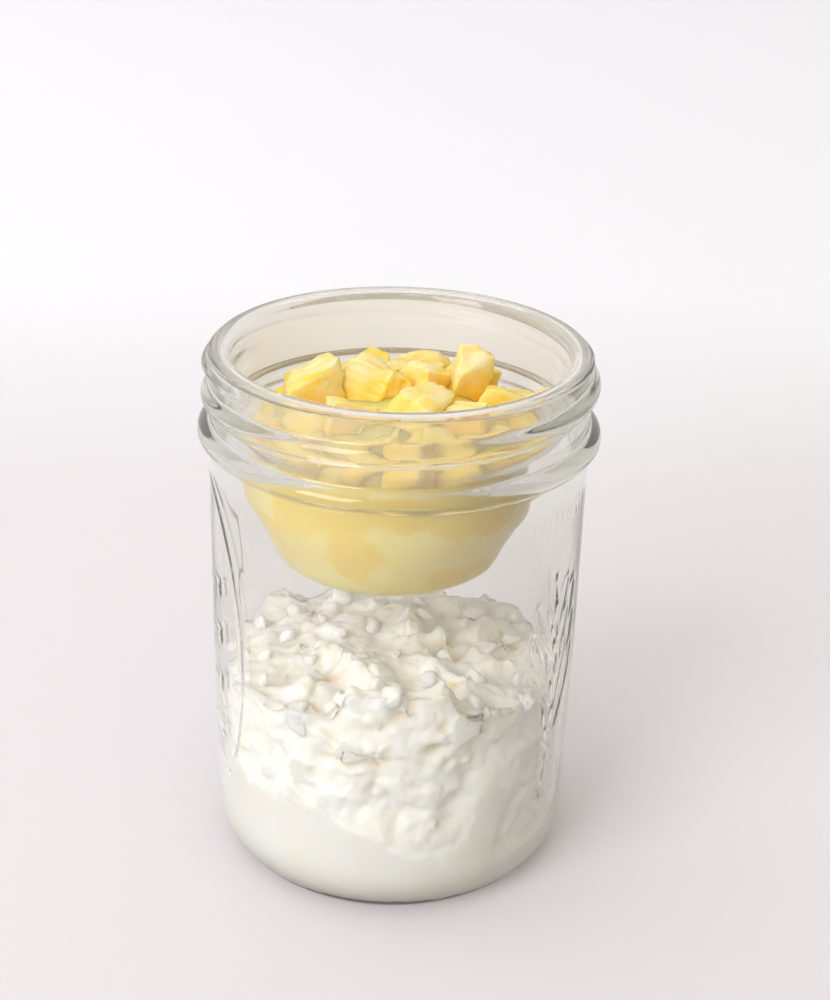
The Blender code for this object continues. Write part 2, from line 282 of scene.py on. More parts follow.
def offset_inwards(outline: Sequence[Point], distance: float) -> list[Point]:
    """Returns a wall's outline, read from the bottom up, moved towards the axis by a distance."""
    places = np.array(outline)
    along = np.gradient(places, axis=0)
    along /= np.linalg.norm(along, axis=1, keepdims=True)
    moved = places + distance * np.column_stack((-along[:, 1], along[:, 0]))
    moved[:, 0] = np.maximum(moved[:, 0], 0.0)
    return [tuple(map(float, place)) for place in moved]


def fine_noise(places: np.ndarray, size: float, seed: float, octaves: int = 1) -> np.ndarray:
    """Returns smooth noise between about -1 and 1 at each place.

    Args:
        places: One row for each place.
        size: The size of the noise's lumps.
        seed: Moves the pattern, so that no two pieces share it.
        octaves: How many finer layers it has.

    Returns:
        One value for each place.
    """
    shift = Vector((seed, 1.7 * seed, 2.3 * seed))
    points = (Vector(place) / size + shift for place in places)
    return np.array([noise.fractal(point, 1.0, 2.0, octaves) for point in points])


def smooth_step(share: np.ndarray) -> np.ndarray:
    """Returns shares from 0 to 1 eased in and out, and anything beyond them held."""
    held = np.clip(share, 0.0, 1.0)
    return held * held * (3.0 - 2.0 * held)


# --------------------------------------------------------------------------------------------------
# Finishes
# --------------------------------------------------------------------------------------------------


class NodeSheet:
    """A node tree while it is laid out."""

    def __init__(self, tree: bpy.types.NodeTree) -> None:
        """Starts on a tree."""
        self.tree: bpy.types.NodeTree = tree

    def feed(self, node: Node, values: dict[str | int, object]) -> None:
        """Gives a node's sockets constants, or links them to other nodes.

        Args:
            node: The node.
            values: A constant, or another node's output, for each socket's name or number.
        """
        for name, value in values.items():
            socket = node.inputs[name]
            if isinstance(value, Socket):
                self.tree.links.new(value, socket)
            elif socket.type == "RGBA":
                socket.default_value = (*value, 1.0)
            else:
                socket.default_value = value

    def add(self, kind: str, values: dict[str | int, object] | None = None) -> Node:
        """Adds a node of a kind and feeds its sockets."""
        node = self.tree.nodes.new(kind)
        self.feed(node, values or {})
        return node

    def object_place(self) -> Socket:
        """Returns the socket that gives a point's place on the object."""
        return self.add("ShaderNodeTexCoord").outputs["Object"]

    def attribute(self, name: str) -> Node:
        """Returns a node that reads one of the mesh's own attributes."""
        node = self.add("ShaderNodeAttribute")
        node.attribute_name = name
        return node

    def mapped(self, source: Socket, scale: Place) -> Socket:
        """Returns a place stretched by a scale on each axis."""
        return self.add("ShaderNodeMapping", {"Scale": scale, "Vector": source}).outputs["Vector"]

    def split(self, source: Socket, axis: str) -> Socket:
        """Returns one axis of a place."""
        return self.add("ShaderNodeSeparateXYZ", {"Vector": source}).outputs[axis]

    def grain(self, source: Socket, scale: float, detail: float = 3.0) -> Socket:
        """Returns noise between 0 and 1 over a place."""
        values = {"Scale": scale, "Detail": detail, "Vector": source}
        return self.add("ShaderNodeTexNoise", values).outputs["Fac"]

    def ramp(self, source: Socket, stops: Stops) -> Socket:
        """Returns a colour that follows a value through stops of (value, colour)."""
        node = self.add("ShaderNodeValToRGB", {"Fac": source})
        elements = node.color_ramp.elements
        while len(elements) < len(stops):
            elements.new(0.5)
        for element, (position, colour) in zip(elements, stops):
            element.position = position
            element.color = (*colour, 1.0)
        return node.outputs["Color"]

    def range(self, source: Socket, ends: Point, span: Point = (0.0, 1.0)) -> Socket:
        """Returns a value stretched to run between two ends while the source runs through a span."""
        values = {"From Min": span[0], "From Max": span[1], "To Min": ends[0], "To Max": ends[1]}
        return self.add("ShaderNodeMapRange", {**values, "Value": source}).outputs["Result"]

    def blend(self, share: Socket | float, first: Socket, second: Socket | Colour) -> Socket:
        """Returns a mix of two colours, all of the second where the share is 1."""
        values = {"Fac": share, "Color1": first, "Color2": second}
        return self.add("ShaderNodeMixRGB", values).outputs["Color"]


class FinishSheet(NodeSheet):
    """The node tree of one material while it is laid out."""

    def __init__(self, name: str) -> None:
        """Starts a material with its shader and output."""
        self.material: bpy.types.Material = bpy.data.materials.new(name)
        self.material.use_nodes = True
        super().__init__(self.material.node_tree)
        self.shader: Node = self.tree.nodes["Principled BSDF"]
        self.output: Node = self.tree.nodes["Material Output"]

    def relief(self, source: Socket, depth: float, strength: float) -> None:
        """Makes a value into fine relief on the surface."""
        node = self.add("ShaderNodeBump", {"Distance": depth, "Strength": strength, "Height": source})
        self.feed(self.shader, {"Normal": node.outputs["Normal"]})

    def let_lamps_through(self, tint: Colour) -> None:
        """Lets lamps light what stands behind the surface, in a tint."""
        is_lamp = self.add("ShaderNodeLightPath").outputs["Is Shadow Ray"]
        clear = self.add("ShaderNodeBsdfTransparent", {"Color": tint}).outputs["BSDF"]
        solid = self.shader.outputs["BSDF"]
        choice = self.add("ShaderNodeMixShader", {0: is_lamp, 1: solid, 2: clear})
        self.feed(self.output, {"Surface": choice.outputs["Shader"]})

    def darken_with_depth(self, colour: Colour, density: float) -> None:
        """Tints light by how far it travels inside the piece."""
        node = self.add("ShaderNodeVolumeAbsorption", {"Color": colour, "Density": density})
        self.feed(self.output, {"Volume": node.outputs["Volume"]})


@dataclass(frozen=True)
class PressedGlass:
    """Clear soda-lime glass with the faint ripple and haze of a pressed jar."""

    tint: Colour = (0.985, 0.985, 0.98)
    lamp_tint: Colour = (0.95, 0.95, 0.94)
    body: Colour = (0.54, 0.56, 0.42)
    body_density: float = 48.0
    ior: float = 1.5
    clearness: float = 0.98
    haze_scale: float = 45.0
    haze: Point = (0.0, 0.05)
    ripple_scale: float = 90.0
    ripple_depth: float = 0.06 * MM

    def material(self) -> bpy.types.Material:
        """Returns the glass."""
        sheet = FinishSheet("pressed_glass")
        place = sheet.object_place()
        sheet.feed(
            sheet.shader,
            {
                "Base Color": self.tint,
                "Transmission Weight": self.clearness,
                "IOR": self.ior,
                "Roughness": sheet.range(sheet.grain(place, self.haze_scale, 4.0), self.haze),
            },
        )
        sheet.relief(sheet.grain(place, self.ripple_scale, 2.0), self.ripple_depth, 0.6)
        sheet.let_lamps_through(self.lamp_tint)
        sheet.darken_with_depth(self.body, self.body_density)
        return sheet.material


@dataclass(frozen=True)
class MilkyPlastic:
    """Thin clear plastic that scatters a little, and more low down, as a pressed snack cup does."""

    tint: Colour = (0.96, 0.945, 0.905)
    lamp_tint: Colour = (0.93, 0.915, 0.87)
    clearness: float = 0.88
    ior: float = 1.33
    haze: Point = (0.1, 0.2)
    haze_shares: Point = (1.0, 0.3)
    haze_heights: Point = (94.0 * MM, 104.0 * MM)

    def material(self) -> bpy.types.Material:
        """Returns the plastic."""
        sheet = FinishSheet("milky_plastic")
        place = sheet.object_place()
        haze = sheet.add(
            "ShaderNodeMath",
            {
                0: sheet.range(sheet.grain(place, 70.0, 5.0), self.haze),
                1: sheet.range(sheet.split(place, "Z"), self.haze_shares, self.haze_heights),
            },
        )
        haze.operation = "MULTIPLY"
        sheet.feed(
            sheet.shader,
            {
                "Base Color": self.tint,
                "Transmission Weight": self.clearness,
                "IOR": self.ior,
                "Roughness": haze.outputs["Value"],
            },
        )
        sheet.relief(sheet.grain(place, 140.0, 2.0), 0.04 * MM, 0.5)
        sheet.let_lamps_through(self.lamp_tint)
        return sheet.material


@dataclass(frozen=True)
class CurdFinish:
    """Wet cottage cheese: white curds, with cream and a darker tan painted into their creases as shade."""

    white: Colour = (0.975, 0.955, 0.895)
    cream: Colour = (0.965, 0.925, 0.81)
    # Painted shade: the darker tan that goes into the creases.
    crease_shade: Colour = (0.86, 0.68, 0.42)
    depth: float = 4.0 * MM
    depth_colour: Colour = (1.0, 0.86, 0.62)
    wetness: Point = (0.22, 0.55)

    def material(self) -> bpy.types.Material:
        """Returns the cheese."""
        sheet = FinishSheet("cottage_cheese")
        place = sheet.object_place()
        clouds = sheet.ramp(sheet.grain(place, 120.0, 4.0), ((0.35, self.cream), (0.62, self.white)))
        # Painted shade: a darker tan, mixed with cream, painted in the creases that the mesh attribute
        # marks.
        creases = sheet.ramp(sheet.grain(place, 300.0, 2.0), ((0.3, self.crease_shade), (0.7, self.cream)))
        share = sheet.attribute(CREASE_SHADE_ATTRIBUTE).outputs["Fac"]
        sheet.feed(
            sheet.shader,
            {
                "Base Color": sheet.blend(share, clouds, creases),
                "Subsurface Weight": 0.7,
                "Subsurface Radius": self.depth_colour,
                "Subsurface Scale": self.depth,
                "IOR": 1.4,
                "Roughness": sheet.range(sheet.grain(place, 260.0), self.wetness),
            },
        )
        sheet.relief(sheet.grain(place, 900.0, 4.0), 0.25 * MM, 0.45)
        return sheet.material


@dataclass(frozen=True)
class FruitFlesh:
    """Pineapple flesh: bright yellow, with paler and deeper fibres, and a deeper golden painted low on the
    heap as shade, so that the tops look lit.
    """

    pale: Colour = (0.96, 0.85, 0.56)
    bright: Colour = (0.97, 0.75, 0.18)
    deep: Colour = (1.0, 0.66, 0.02)
    # Painted shade: deeper golden on the lower parts of the pieces, fading out towards the lit tops.
    low_shade_colour: Colour = (1.0, 0.67, 0.02)
    low_shade_shares: Point = (0.9, 0.0)
    low_shade_heights: Point = (104.0 * MM, 115.5 * MM)
    fibre_scale: Place = (110.0, 700.0, 700.0)
    depth: float = 2.2 * MM
    depth_colour: Colour = (1.0, 0.7, 0.2)
    wetness: Point = (0.14, 0.42)

    def material(self) -> bpy.types.Material:
        """Returns the flesh."""
        sheet = FinishSheet("pineapple_flesh")
        own = sheet.attribute(FIBRE_ATTRIBUTE).outputs["Vector"]
        fibre = sheet.grain(sheet.mapped(own, self.fibre_scale), 1.0)
        patch = sheet.grain(own, 130.0, 2.0)
        stops = ((0.28, self.deep), (0.45, self.bright), (0.62, self.pale))
        fresh = sheet.blend(0.5, sheet.ramp(fibre, stops), sheet.ramp(patch, stops))
        height = sheet.split(sheet.object_place(), "Z")
        # Painted shade by height: the lower the point, the more of the deep golden colour.
        low_shade = sheet.range(height, self.low_shade_shares, self.low_shade_heights)
        sheet.feed(
            sheet.shader,
            {
                "Base Color": sheet.blend(low_shade, fresh, self.low_shade_colour),
                "Subsurface Weight": 0.6,
                "Subsurface Radius": self.depth_colour,
                "Subsurface Scale": self.depth,
                "IOR": 1.38,
                "Roughness": sheet.range(patch, self.wetness),
            },
        )
        sheet.relief(fibre, 0.5 * MM, 0.7)
        return sheet.material


@dataclass(frozen=True)
class FruitJuice:
    """The juice and pulp between the pieces, in soft patches as they show through the cup."""

    pale: Colour = (1.0, 0.84, 0.34)
    bright: Colour = (1.0, 0.76, 0.11)
    deep: Colour = (1.0, 0.68, 0.02)
    patch_scale: float = 95.0
    patch_drift: Place = (6.0 * MM, 6.0 * MM, 6.0 * MM)
    depth: float = 14.0 * MM
    depth_colour: Colour = (1.0, 0.72, 0.12)
    wetness: Point = (0.12, 0.3)

    def patches(self, sheet: FinishSheet, place: Socket) -> Socket:
        """Returns the colour of soft-edged patches with uneven outlines."""
        drift = sheet.add("ShaderNodeTexNoise", {"Scale": 120.0, "Detail": 2.0, "Vector": place})
        bend = sheet.mapped(drift.outputs["Color"], self.patch_drift)
        warped = sheet.add("ShaderNodeVectorMath", {0: place, 1: bend}).outputs["Vector"]
        cells = sheet.add("ShaderNodeTexVoronoi", {"Scale": self.patch_scale, "Vector": warped})
        cells.feature = "SMOOTH_F1"
        cells.inputs["Smoothness"].default_value = 0.35
        stops = ((0.2, self.deep), (0.5, self.bright), (0.8, self.pale))
        return sheet.ramp(sheet.split(cells.outputs["Color"], "X"), stops)

    def material(self) -> bpy.types.Material:
        """Returns the juice."""
        sheet = FinishSheet("pineapple_juice")
        place = sheet.object_place()
        clouds = sheet.ramp(sheet.grain(place, 110.0), ((0.35, self.bright), (0.65, self.pale)))
        sheet.feed(
            sheet.shader,
            {
                "Base Color": sheet.blend(0.25, self.patches(sheet, place), clouds),
                "Subsurface Weight": 0.95,
                "Subsurface Radius": self.depth_colour,
                "Subsurface Scale": self.depth,
                "IOR": 1.36,
                "Roughness": sheet.range(sheet.grain(place, 60.0, 2.0), self.wetness),
            },
        )
        sheet.relief(sheet.grain(place, 300.0, 2.0), 0.3 * MM, 0.4)
        return sheet.material


@dataclass(frozen=True)
class StudioPaper:
    """The pale sweep that the jar stands on, a little lighter where it bends up."""

    floor: Colour = (0.79, 0.767, 0.78)
    wall: Colour = (0.865, 0.88, 0.9)
    rise: Point = (0.0, 40.0 * MM)

    def material(self) -> bpy.types.Material:
        """Returns the paper."""
        sheet = FinishSheet("studio_paper")
        place = sheet.object_place()
        share = sheet.range(sheet.split(place, "Z"), (0.0, 1.0), self.rise)
        colour = sheet.ramp(share, ((0.0, self.floor), (1.0, self.wall)))
        sheet.feed(sheet.shader, {"Base Color": colour, "Roughness": 0.9, "Specular IOR Level": 0.2})
        sheet.relief(sheet.grain(place, 900.0, 2.0), 0.02 * MM, 0.2)
        return sheet.material


# --------------------------------------------------------------------------------------------------
# The jar
# --------------------------------------------------------------------------------------------------


@dataclass(frozen=True)
class Stroke:
    """One raised line pressed on the glass, through points of (distance round the wall, height)."""

    points: tuple[Point, ...]
    half_width: float = 1.0 * MM
    rise: float = 0.13 * MM

    def height_over(self, around: np.ndarray, up: np.ndarray) -> np.ndarray:
        """Returns how far the line stands out of the glass.

        Args:
            around: Distances round the wall, one for each vertex.
            up: Heights, one for each vertex.

        Returns:
            The rise at each vertex.
        """
        nearest = np.full(around.shape, np.inf)
        for (start_u, start_v), (end_u, end_v) in pairwise(self.points):
            along = np.array((end_u - start_u, end_v - start_v))
            share = ((around - start_u) * along[0] + (up - start_v) * along[1]) / float(along @ along)
            share = np.clip(share, 0.0, 1.0)
            gap = np.hypot(around - start_u - share * along[0], up - start_v - share * along[1])
            nearest = np.minimum(nearest, gap)
        inside = np.clip(1.0 - (nearest / self.half_width) ** 2, 0.0, None)
        return self.rise * inside**2


class Digit(Enum):
    """The plain numbers on the jar's scale, each one line on a cell one wide and two high."""

    ONE = ((0.2, 1.5), (0.6, 2.0), (0.6, 0.0))
    TWO = ((0.0, 1.5), (0.5, 2.0), (1.0, 1.5), (0.0, 0.0), (1.0, 0.0))
    THREE = ((0.0, 2.0), (1.0, 2.0), (0.4, 1.2), (1.0, 0.7), (0.5, 0.0), (0.0, 0.3))
    FOUR = ((0.8, 0.0), (0.8, 2.0), (0.0, 0.7), (1.1, 0.7))
    FIVE = ((1.0, 2.0), (0.1, 2.0), (0.0, 1.1), (0.7, 1.2), (1.0, 0.6), (0.5, 0.0), (0.0, 0.2))


@dataclass
class PressedRelief:
    """The ornaments pressed on the jar's wall: a leafy sprig, a scale, and flutes under the bead."""

    wall_radius: float = 41.75 * MM
    sprig_middle: float = 57.0
    sprig_foot: float = 26.0 * MM
    sprig_top: float = 79.0 * MM
    stem_sway: float = 2.0 * MM
    stem_half_width: float = 1.2 * MM
    leaf_pairs: int = 3
    leaf_leans: Point = (-24.0, 20.0)
    leaf_length: float = 27.0 * MM
    leaf_swell: float = 3.0 * MM
    leaf_half_width: float = 1.1 * MM
    leaf_rise: float = 0.19 * MM
    oval_middle: float = -80.0
    oval_half: Point = (20.4 * MM, 39.0 * MM)
    oval_height: float = 55.0 * MM
    oval_half_width: float = 1.2 * MM
    oval_rise: float = 0.16 * MM
    scale_spacing: float = 12.0 * MM
    scale_foot: float = 22.0 * MM
    mark_span: Point = (1.0 * MM, 6.0 * MM)
    mark_half_width: float = 0.85 * MM
    digit_place: float = 8.5 * MM
    digit_cell: float = 1.5 * MM
    digit_rise: float = 0.2 * MM
    flute_rows: tuple[tuple[float, float, int], ...] = ((19.0, 28.5, 4), (38.0, 74.5, 12))
    flute_foot: float = 91.2 * MM
    flute_length: float = 3.0 * MM
    flute_half_width: float = 0.8 * MM
    flute_rise: float = 0.05 * MM

    def around(self, azimuth: float) -> float:
        """Returns the distance round the wall of an azimuth in degrees, right of the front positive."""
        return self.wall_radius * math.radians(azimuth)

    def leaf(self, foot: Point, lean: float, length: float) -> Stroke:
        """Returns the outline of one slender leaf.

        Args:
            foot: Where the leaf joins the stem.
            lean: Its lean from upright, in degrees, right positive.
            length: Its length.

        Returns:
            The stroke.
        """
        along = (math.sin(math.radians(lean)), math.cos(math.radians(lean)))
        across = (along[1], -along[0])
        points = []
        for step in range(25):
            turn = math.tau * step / 24
            reach = 0.5 * length * (1.0 - math.cos(turn))
            swell = self.leaf_swell * math.sin(turn) * math.sin(0.5 * turn)
            points.append(tuple(foot[axis] + reach * along[axis] + swell * across[axis] for axis in (0, 1)))
        return Stroke(tuple(points), self.leaf_half_width, self.leaf_rise)

    def stem_place(self, share: float) -> Point:
        """Returns the place on the swaying stem at a share of its height."""
        sway = self.stem_sway * math.sin(math.pi * share)
        return (self.around(self.sprig_middle) + sway, between(self.sprig_foot, self.sprig_top, share))

    def sprig(self) -> list[Stroke]:
        """Returns a stem with pairs of slender leaves."""
        stem = tuple(self.stem_place(step / 12) for step in range(13))
        strokes = [Stroke(stem, self.stem_half_width, self.leaf_rise)]
        for pair in range(self.leaf_pairs):
            foot = self.stem_place(0.16 + 0.2 * pair)
            length = self.leaf_length * (1.0 - 0.12 * pair)
            strokes += [self.leaf(foot, lean, length) for lean in self.leaf_leans]
        return strokes

    def scale(self) -> list[Stroke]:
        """Returns the oval with its level marks and plain numbers."""
        middle = self.around(self.oval_middle)
        half_round, half_up = self.oval_half
        turns = [math.tau * step / 72 for step in range(73)]
        oval = [(middle + half_round * math.sin(t), self.oval_height + half_up * math.cos(t)) for t in turns]
        strokes = [Stroke(tuple(oval), self.oval_half_width, self.oval_rise)]
        start, end = self.mark_span
        left, cell = middle + self.digit_place, self.digit_cell
        for step, digit in enumerate((Digit.ONE, Digit.TWO, Digit.THREE, Digit.FOUR, Digit.FIVE)):
            level = self.scale_foot + self.scale_spacing * step
            strokes.append(Stroke(((middle + start, level), (middle + end, level)), self.mark_half_width))
            points = tuple((left + cell * u, level - cell + cell * v) for u, v in digit.value)
            strokes.append(Stroke(points, self.mark_half_width, self.digit_rise))
        return strokes

    def flutes(self) -> list[Stroke]:
        """Returns the rows of short upright flutes under the bead."""
        foot, top = self.flute_foot, self.flute_foot + self.flute_length
        azimuths = [azimuth for row in self.flute_rows for azimuth in np.linspace(*row)]
        places = [self.around(float(azimuth)) for azimuth in azimuths]
        return [Stroke(((p, foot), (p, top)), self.flute_half_width, self.flute_rise) for p in places]

    def height_over(self, azimuth: np.ndarray, up: np.ndarray) -> np.ndarray:
        """Returns the rise of all the ornaments.

        Args:
            azimuth: Angles from the front in radians, right positive, one for each vertex.
            up: Heights, one for each vertex.

        Returns:
            The rise at each vertex.
        """
        around = self.wall_radius * azimuth
        rise = np.zeros(around.shape)
        for stroke in self.sprig() + self.scale() + self.flutes():
            rise = np.maximum(rise, stroke.height_over(around, up))
        return rise


@dataclass
class GlassJar:
    """The jar: a turned glass body with a lip, a screw thread, a bead and pressed ornaments."""

    lip_top: float
    bead_radius: float
    finish: PressedGlass = field(default_factory=PressedGlass)
    relief: PressedRelief = field(default_factory=PressedRelief)
    columns: int = 320
    crowded: tuple[Point, ...] = ((-110.0, -46.0), (18.0, 80.0))
    crowding: float = 3.2
    wall_pitch: float = 0.55 * MM
    neck_pitch: float = 0.45 * MM
    inner_pitch: float = 2.4 * MM
    lip_round: float = 1.2 * MM
    lip_radius: float = 40.8 * MM
    neck_radius: float = 41.7 * MM
    neck_top: float = 117.0 * MM
    bead_height: float = 103.8 * MM
    bead_half: float = 2.8 * MM
    shoulder_outer: float = 41.85 * MM
    body_middle: Point = (41.75 * MM, 50.0 * MM)
    heel: Point = (41.1 * MM, 11.0 * MM)
    rest_outer: float = 33.6 * MM
    rest_inner: float = 30.6 * MM
    punt: Point = (26.0 * MM, 1.2 * MM)
    punt_centre: float = 2.0 * MM
    mouth: Point = (38.4 * MM, 104.0 * MM)
    shoulder: Point = (39.8 * MM, 94.0 * MM)
    inner_middle: float = 39.3 * MM
    inner_heel_radius: float = 39.0 * MM
    inner_heel_round: Point = (6.2 * MM, 8.6 * MM)
    floor_edge: float = 3.2 * MM
    floor_centre: float = 4.4 * MM
    thread_pitch: float = 7.7 * MM
    thread_degrees: Point = (-220.0, 225.0)
    thread_start: float = 111.0 * MM
    thread_top: float = 120.2 * MM
    thread_fade: float = 40.0
    thread_crest: float = 43.4 * MM
    thread_half: float = 2.7 * MM
    wave_depth: float = 0.07 * MM
    wave_size: float = 14.0 * MM

    def inner_outline(self) -> list[Point]:
        """Returns the inside of the glass, from the floor's edge up to the mouth."""
        rounding = self.inner_heel_round
        centre = (self.inner_heel_radius - rounding[0], self.floor_edge + rounding[1])
        points = arc(centre, rounding, -90.0, 0.0, 10)
        points += run(points[-1], (self.inner_middle, self.body_middle[1]), self.inner_pitch)
        points += run(points[-1], self.shoulder, self.inner_pitch)
        points += flank(points[-1], self.mouth, 1.2 * MM)
        return points

    def outline(self) -> list[Point]:
        """Returns the whole section, from the middle of the floor over the lip to that of the base."""
        inner = self.inner_outline()
        middle = (0.0, self.floor_centre)
        points = [middle] + run(middle, inner[0], 6.0 * MM)[:-1] + inner
        lip_level = self.lip_top - self.lip_round
        points += run(points[-1], (self.mouth[0], lip_level), self.inner_pitch)[:-1]
        rounding = (self.lip_round, self.lip_round)
        points += arc((self.mouth[0] + self.lip_round, lip_level), rounding, 180.0, 90.0, 5)
        points += arc((self.lip_radius - self.lip_round, lip_level), rounding, 90.0, 0.0, 5)
        points += run(points[-1], (self.neck_radius, self.neck_top), self.neck_pitch)
        bead_top = (self.neck_radius, self.bead_height + self.bead_half)
        bead_foot = (self.shoulder_outer, self.bead_height - self.bead_half)
        points += run(points[-1], bead_top, self.neck_pitch)
        points += swelling(bead_top, bead_foot, self.bead_radius, self.neck_pitch)
        points += run(points[-1], self.body_middle, self.wall_pitch)
        points += run(points[-1], self.heel, self.wall_pitch)
        heel_radii = (self.heel[0] - self.rest_outer, self.heel[1])
        points += arc((self.rest_outer, self.heel[1]), heel_radii, 0.0, -90.0, 18)[1:]
        points += [(self.rest_inner, 0.0)]
        points += flank(points[-1], self.punt, 0.8 * MM)
        points += run(points[-1], (0.0, self.punt_centre), 5.0 * MM)
        return points

    def inner_radius(self, height: np.ndarray) -> np.ndarray:
        """Returns the radius of the inner wall at each height."""
        wall = np.array(self.inner_outline())
        return np.interp(height, wall[:, 1], wall[:, 0])

    def crowd_columns(self, azimuth: np.ndarray) -> np.ndarray:
        """Returns azimuths crowded together where the ornaments are.

        Args:
            azimuth: Even azimuths from the front in radians.

        Returns:
            The new azimuths, in the same order.
        """
        ruler = np.linspace(-180.0, 180.0, 1441)
        density = np.ones(ruler.shape)
        for low, high in self.crowded:
            rise = smooth_step((ruler - low) / 6.0 + 1.0) * smooth_step((high - ruler) / 6.0 + 1.0)
            density += (self.crowding - 1.0) * rise
        total = np.concatenate(([0.0], np.cumsum(0.5 * (density[1:] + density[:-1]))))
        share = (np.degrees(azimuth) + 180.0) / 360.0
        return np.radians(np.interp(share, total / total[-1], ruler))

    def thread_rise(self, azimuth: np.ndarray, height: np.ndarray) -> np.ndarray:
        """Returns how far the screw thread stands out of the neck at each vertex."""
        rise = np.zeros(height.shape)
        start, end = self.thread_degrees
        full = self.thread_crest - self.neck_radius
        for turn in (-1, 0, 1):
            travelled = np.degrees(azimuth) - 90.0 + 360.0 * turn - start
            fade = smooth_step(np.minimum(travelled, end - start - travelled) / self.thread_fade)
            centre = self.thread_start + self.thread_pitch * travelled / 360.0
            inside = np.clip(1.0 - ((height - centre) / self.thread_half) ** 2, 0.0, None)
            under_lip = smooth_step((self.thread_top - height) / (1.6 * MM))
            rise = np.maximum(rise, full * fade * inside * under_lip)
        return rise

    def build(self) -> Piece:
        """Models the glass."""
        item = turned("glass_jar", self.outline(), self.columns)
        places = places_of(item)
        radius, height = radii_of(places), places[:, 2]
        azimuth = self.crowd_columns(np.arctan2(places[:, 0], -places[:, 1]))
        outside = radius > self.inner_radius(height) + 1.0 * MM
        on_neck = outside & (height > self.bead_height)
        on_body = outside & (height > self.heel[1]) & (height < self.bead_height - self.bead_half)
        threaded = self.neck_radius + self.thread_rise(azimuth[on_neck], height[on_neck])
        radius[on_neck] = np.maximum(radius[on_neck], threaded)
        radius[on_body] += self.relief.height_over(azimuth[on_body], height[on_body])
        on_wall = (height > self.heel[1]) & (height < self.bead_height - self.bead_half)
        wave = self.wave_depth * fine_noise(places[on_wall], self.wave_size, 3.0)
        radius[on_wall] += np.where(outside[on_wall], np.minimum(wave, 0.0), wave)
        places[:, 0] = radius * np.sin(azimuth)
        places[:, 1] = -radius * np.cos(azimuth)
        move_vertices(item, places)
        smooth(item)
        return item

    def dress(self, item: Piece) -> None:
        """Gives the jar its finish and its place in the model."""
        item.data.materials.append(self.finish.material())
        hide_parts("jar")
        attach(item, BODY)


# --------------------------------------------------------------------------------------------------
# The cottage cheese
# --------------------------------------------------------------------------------------------------


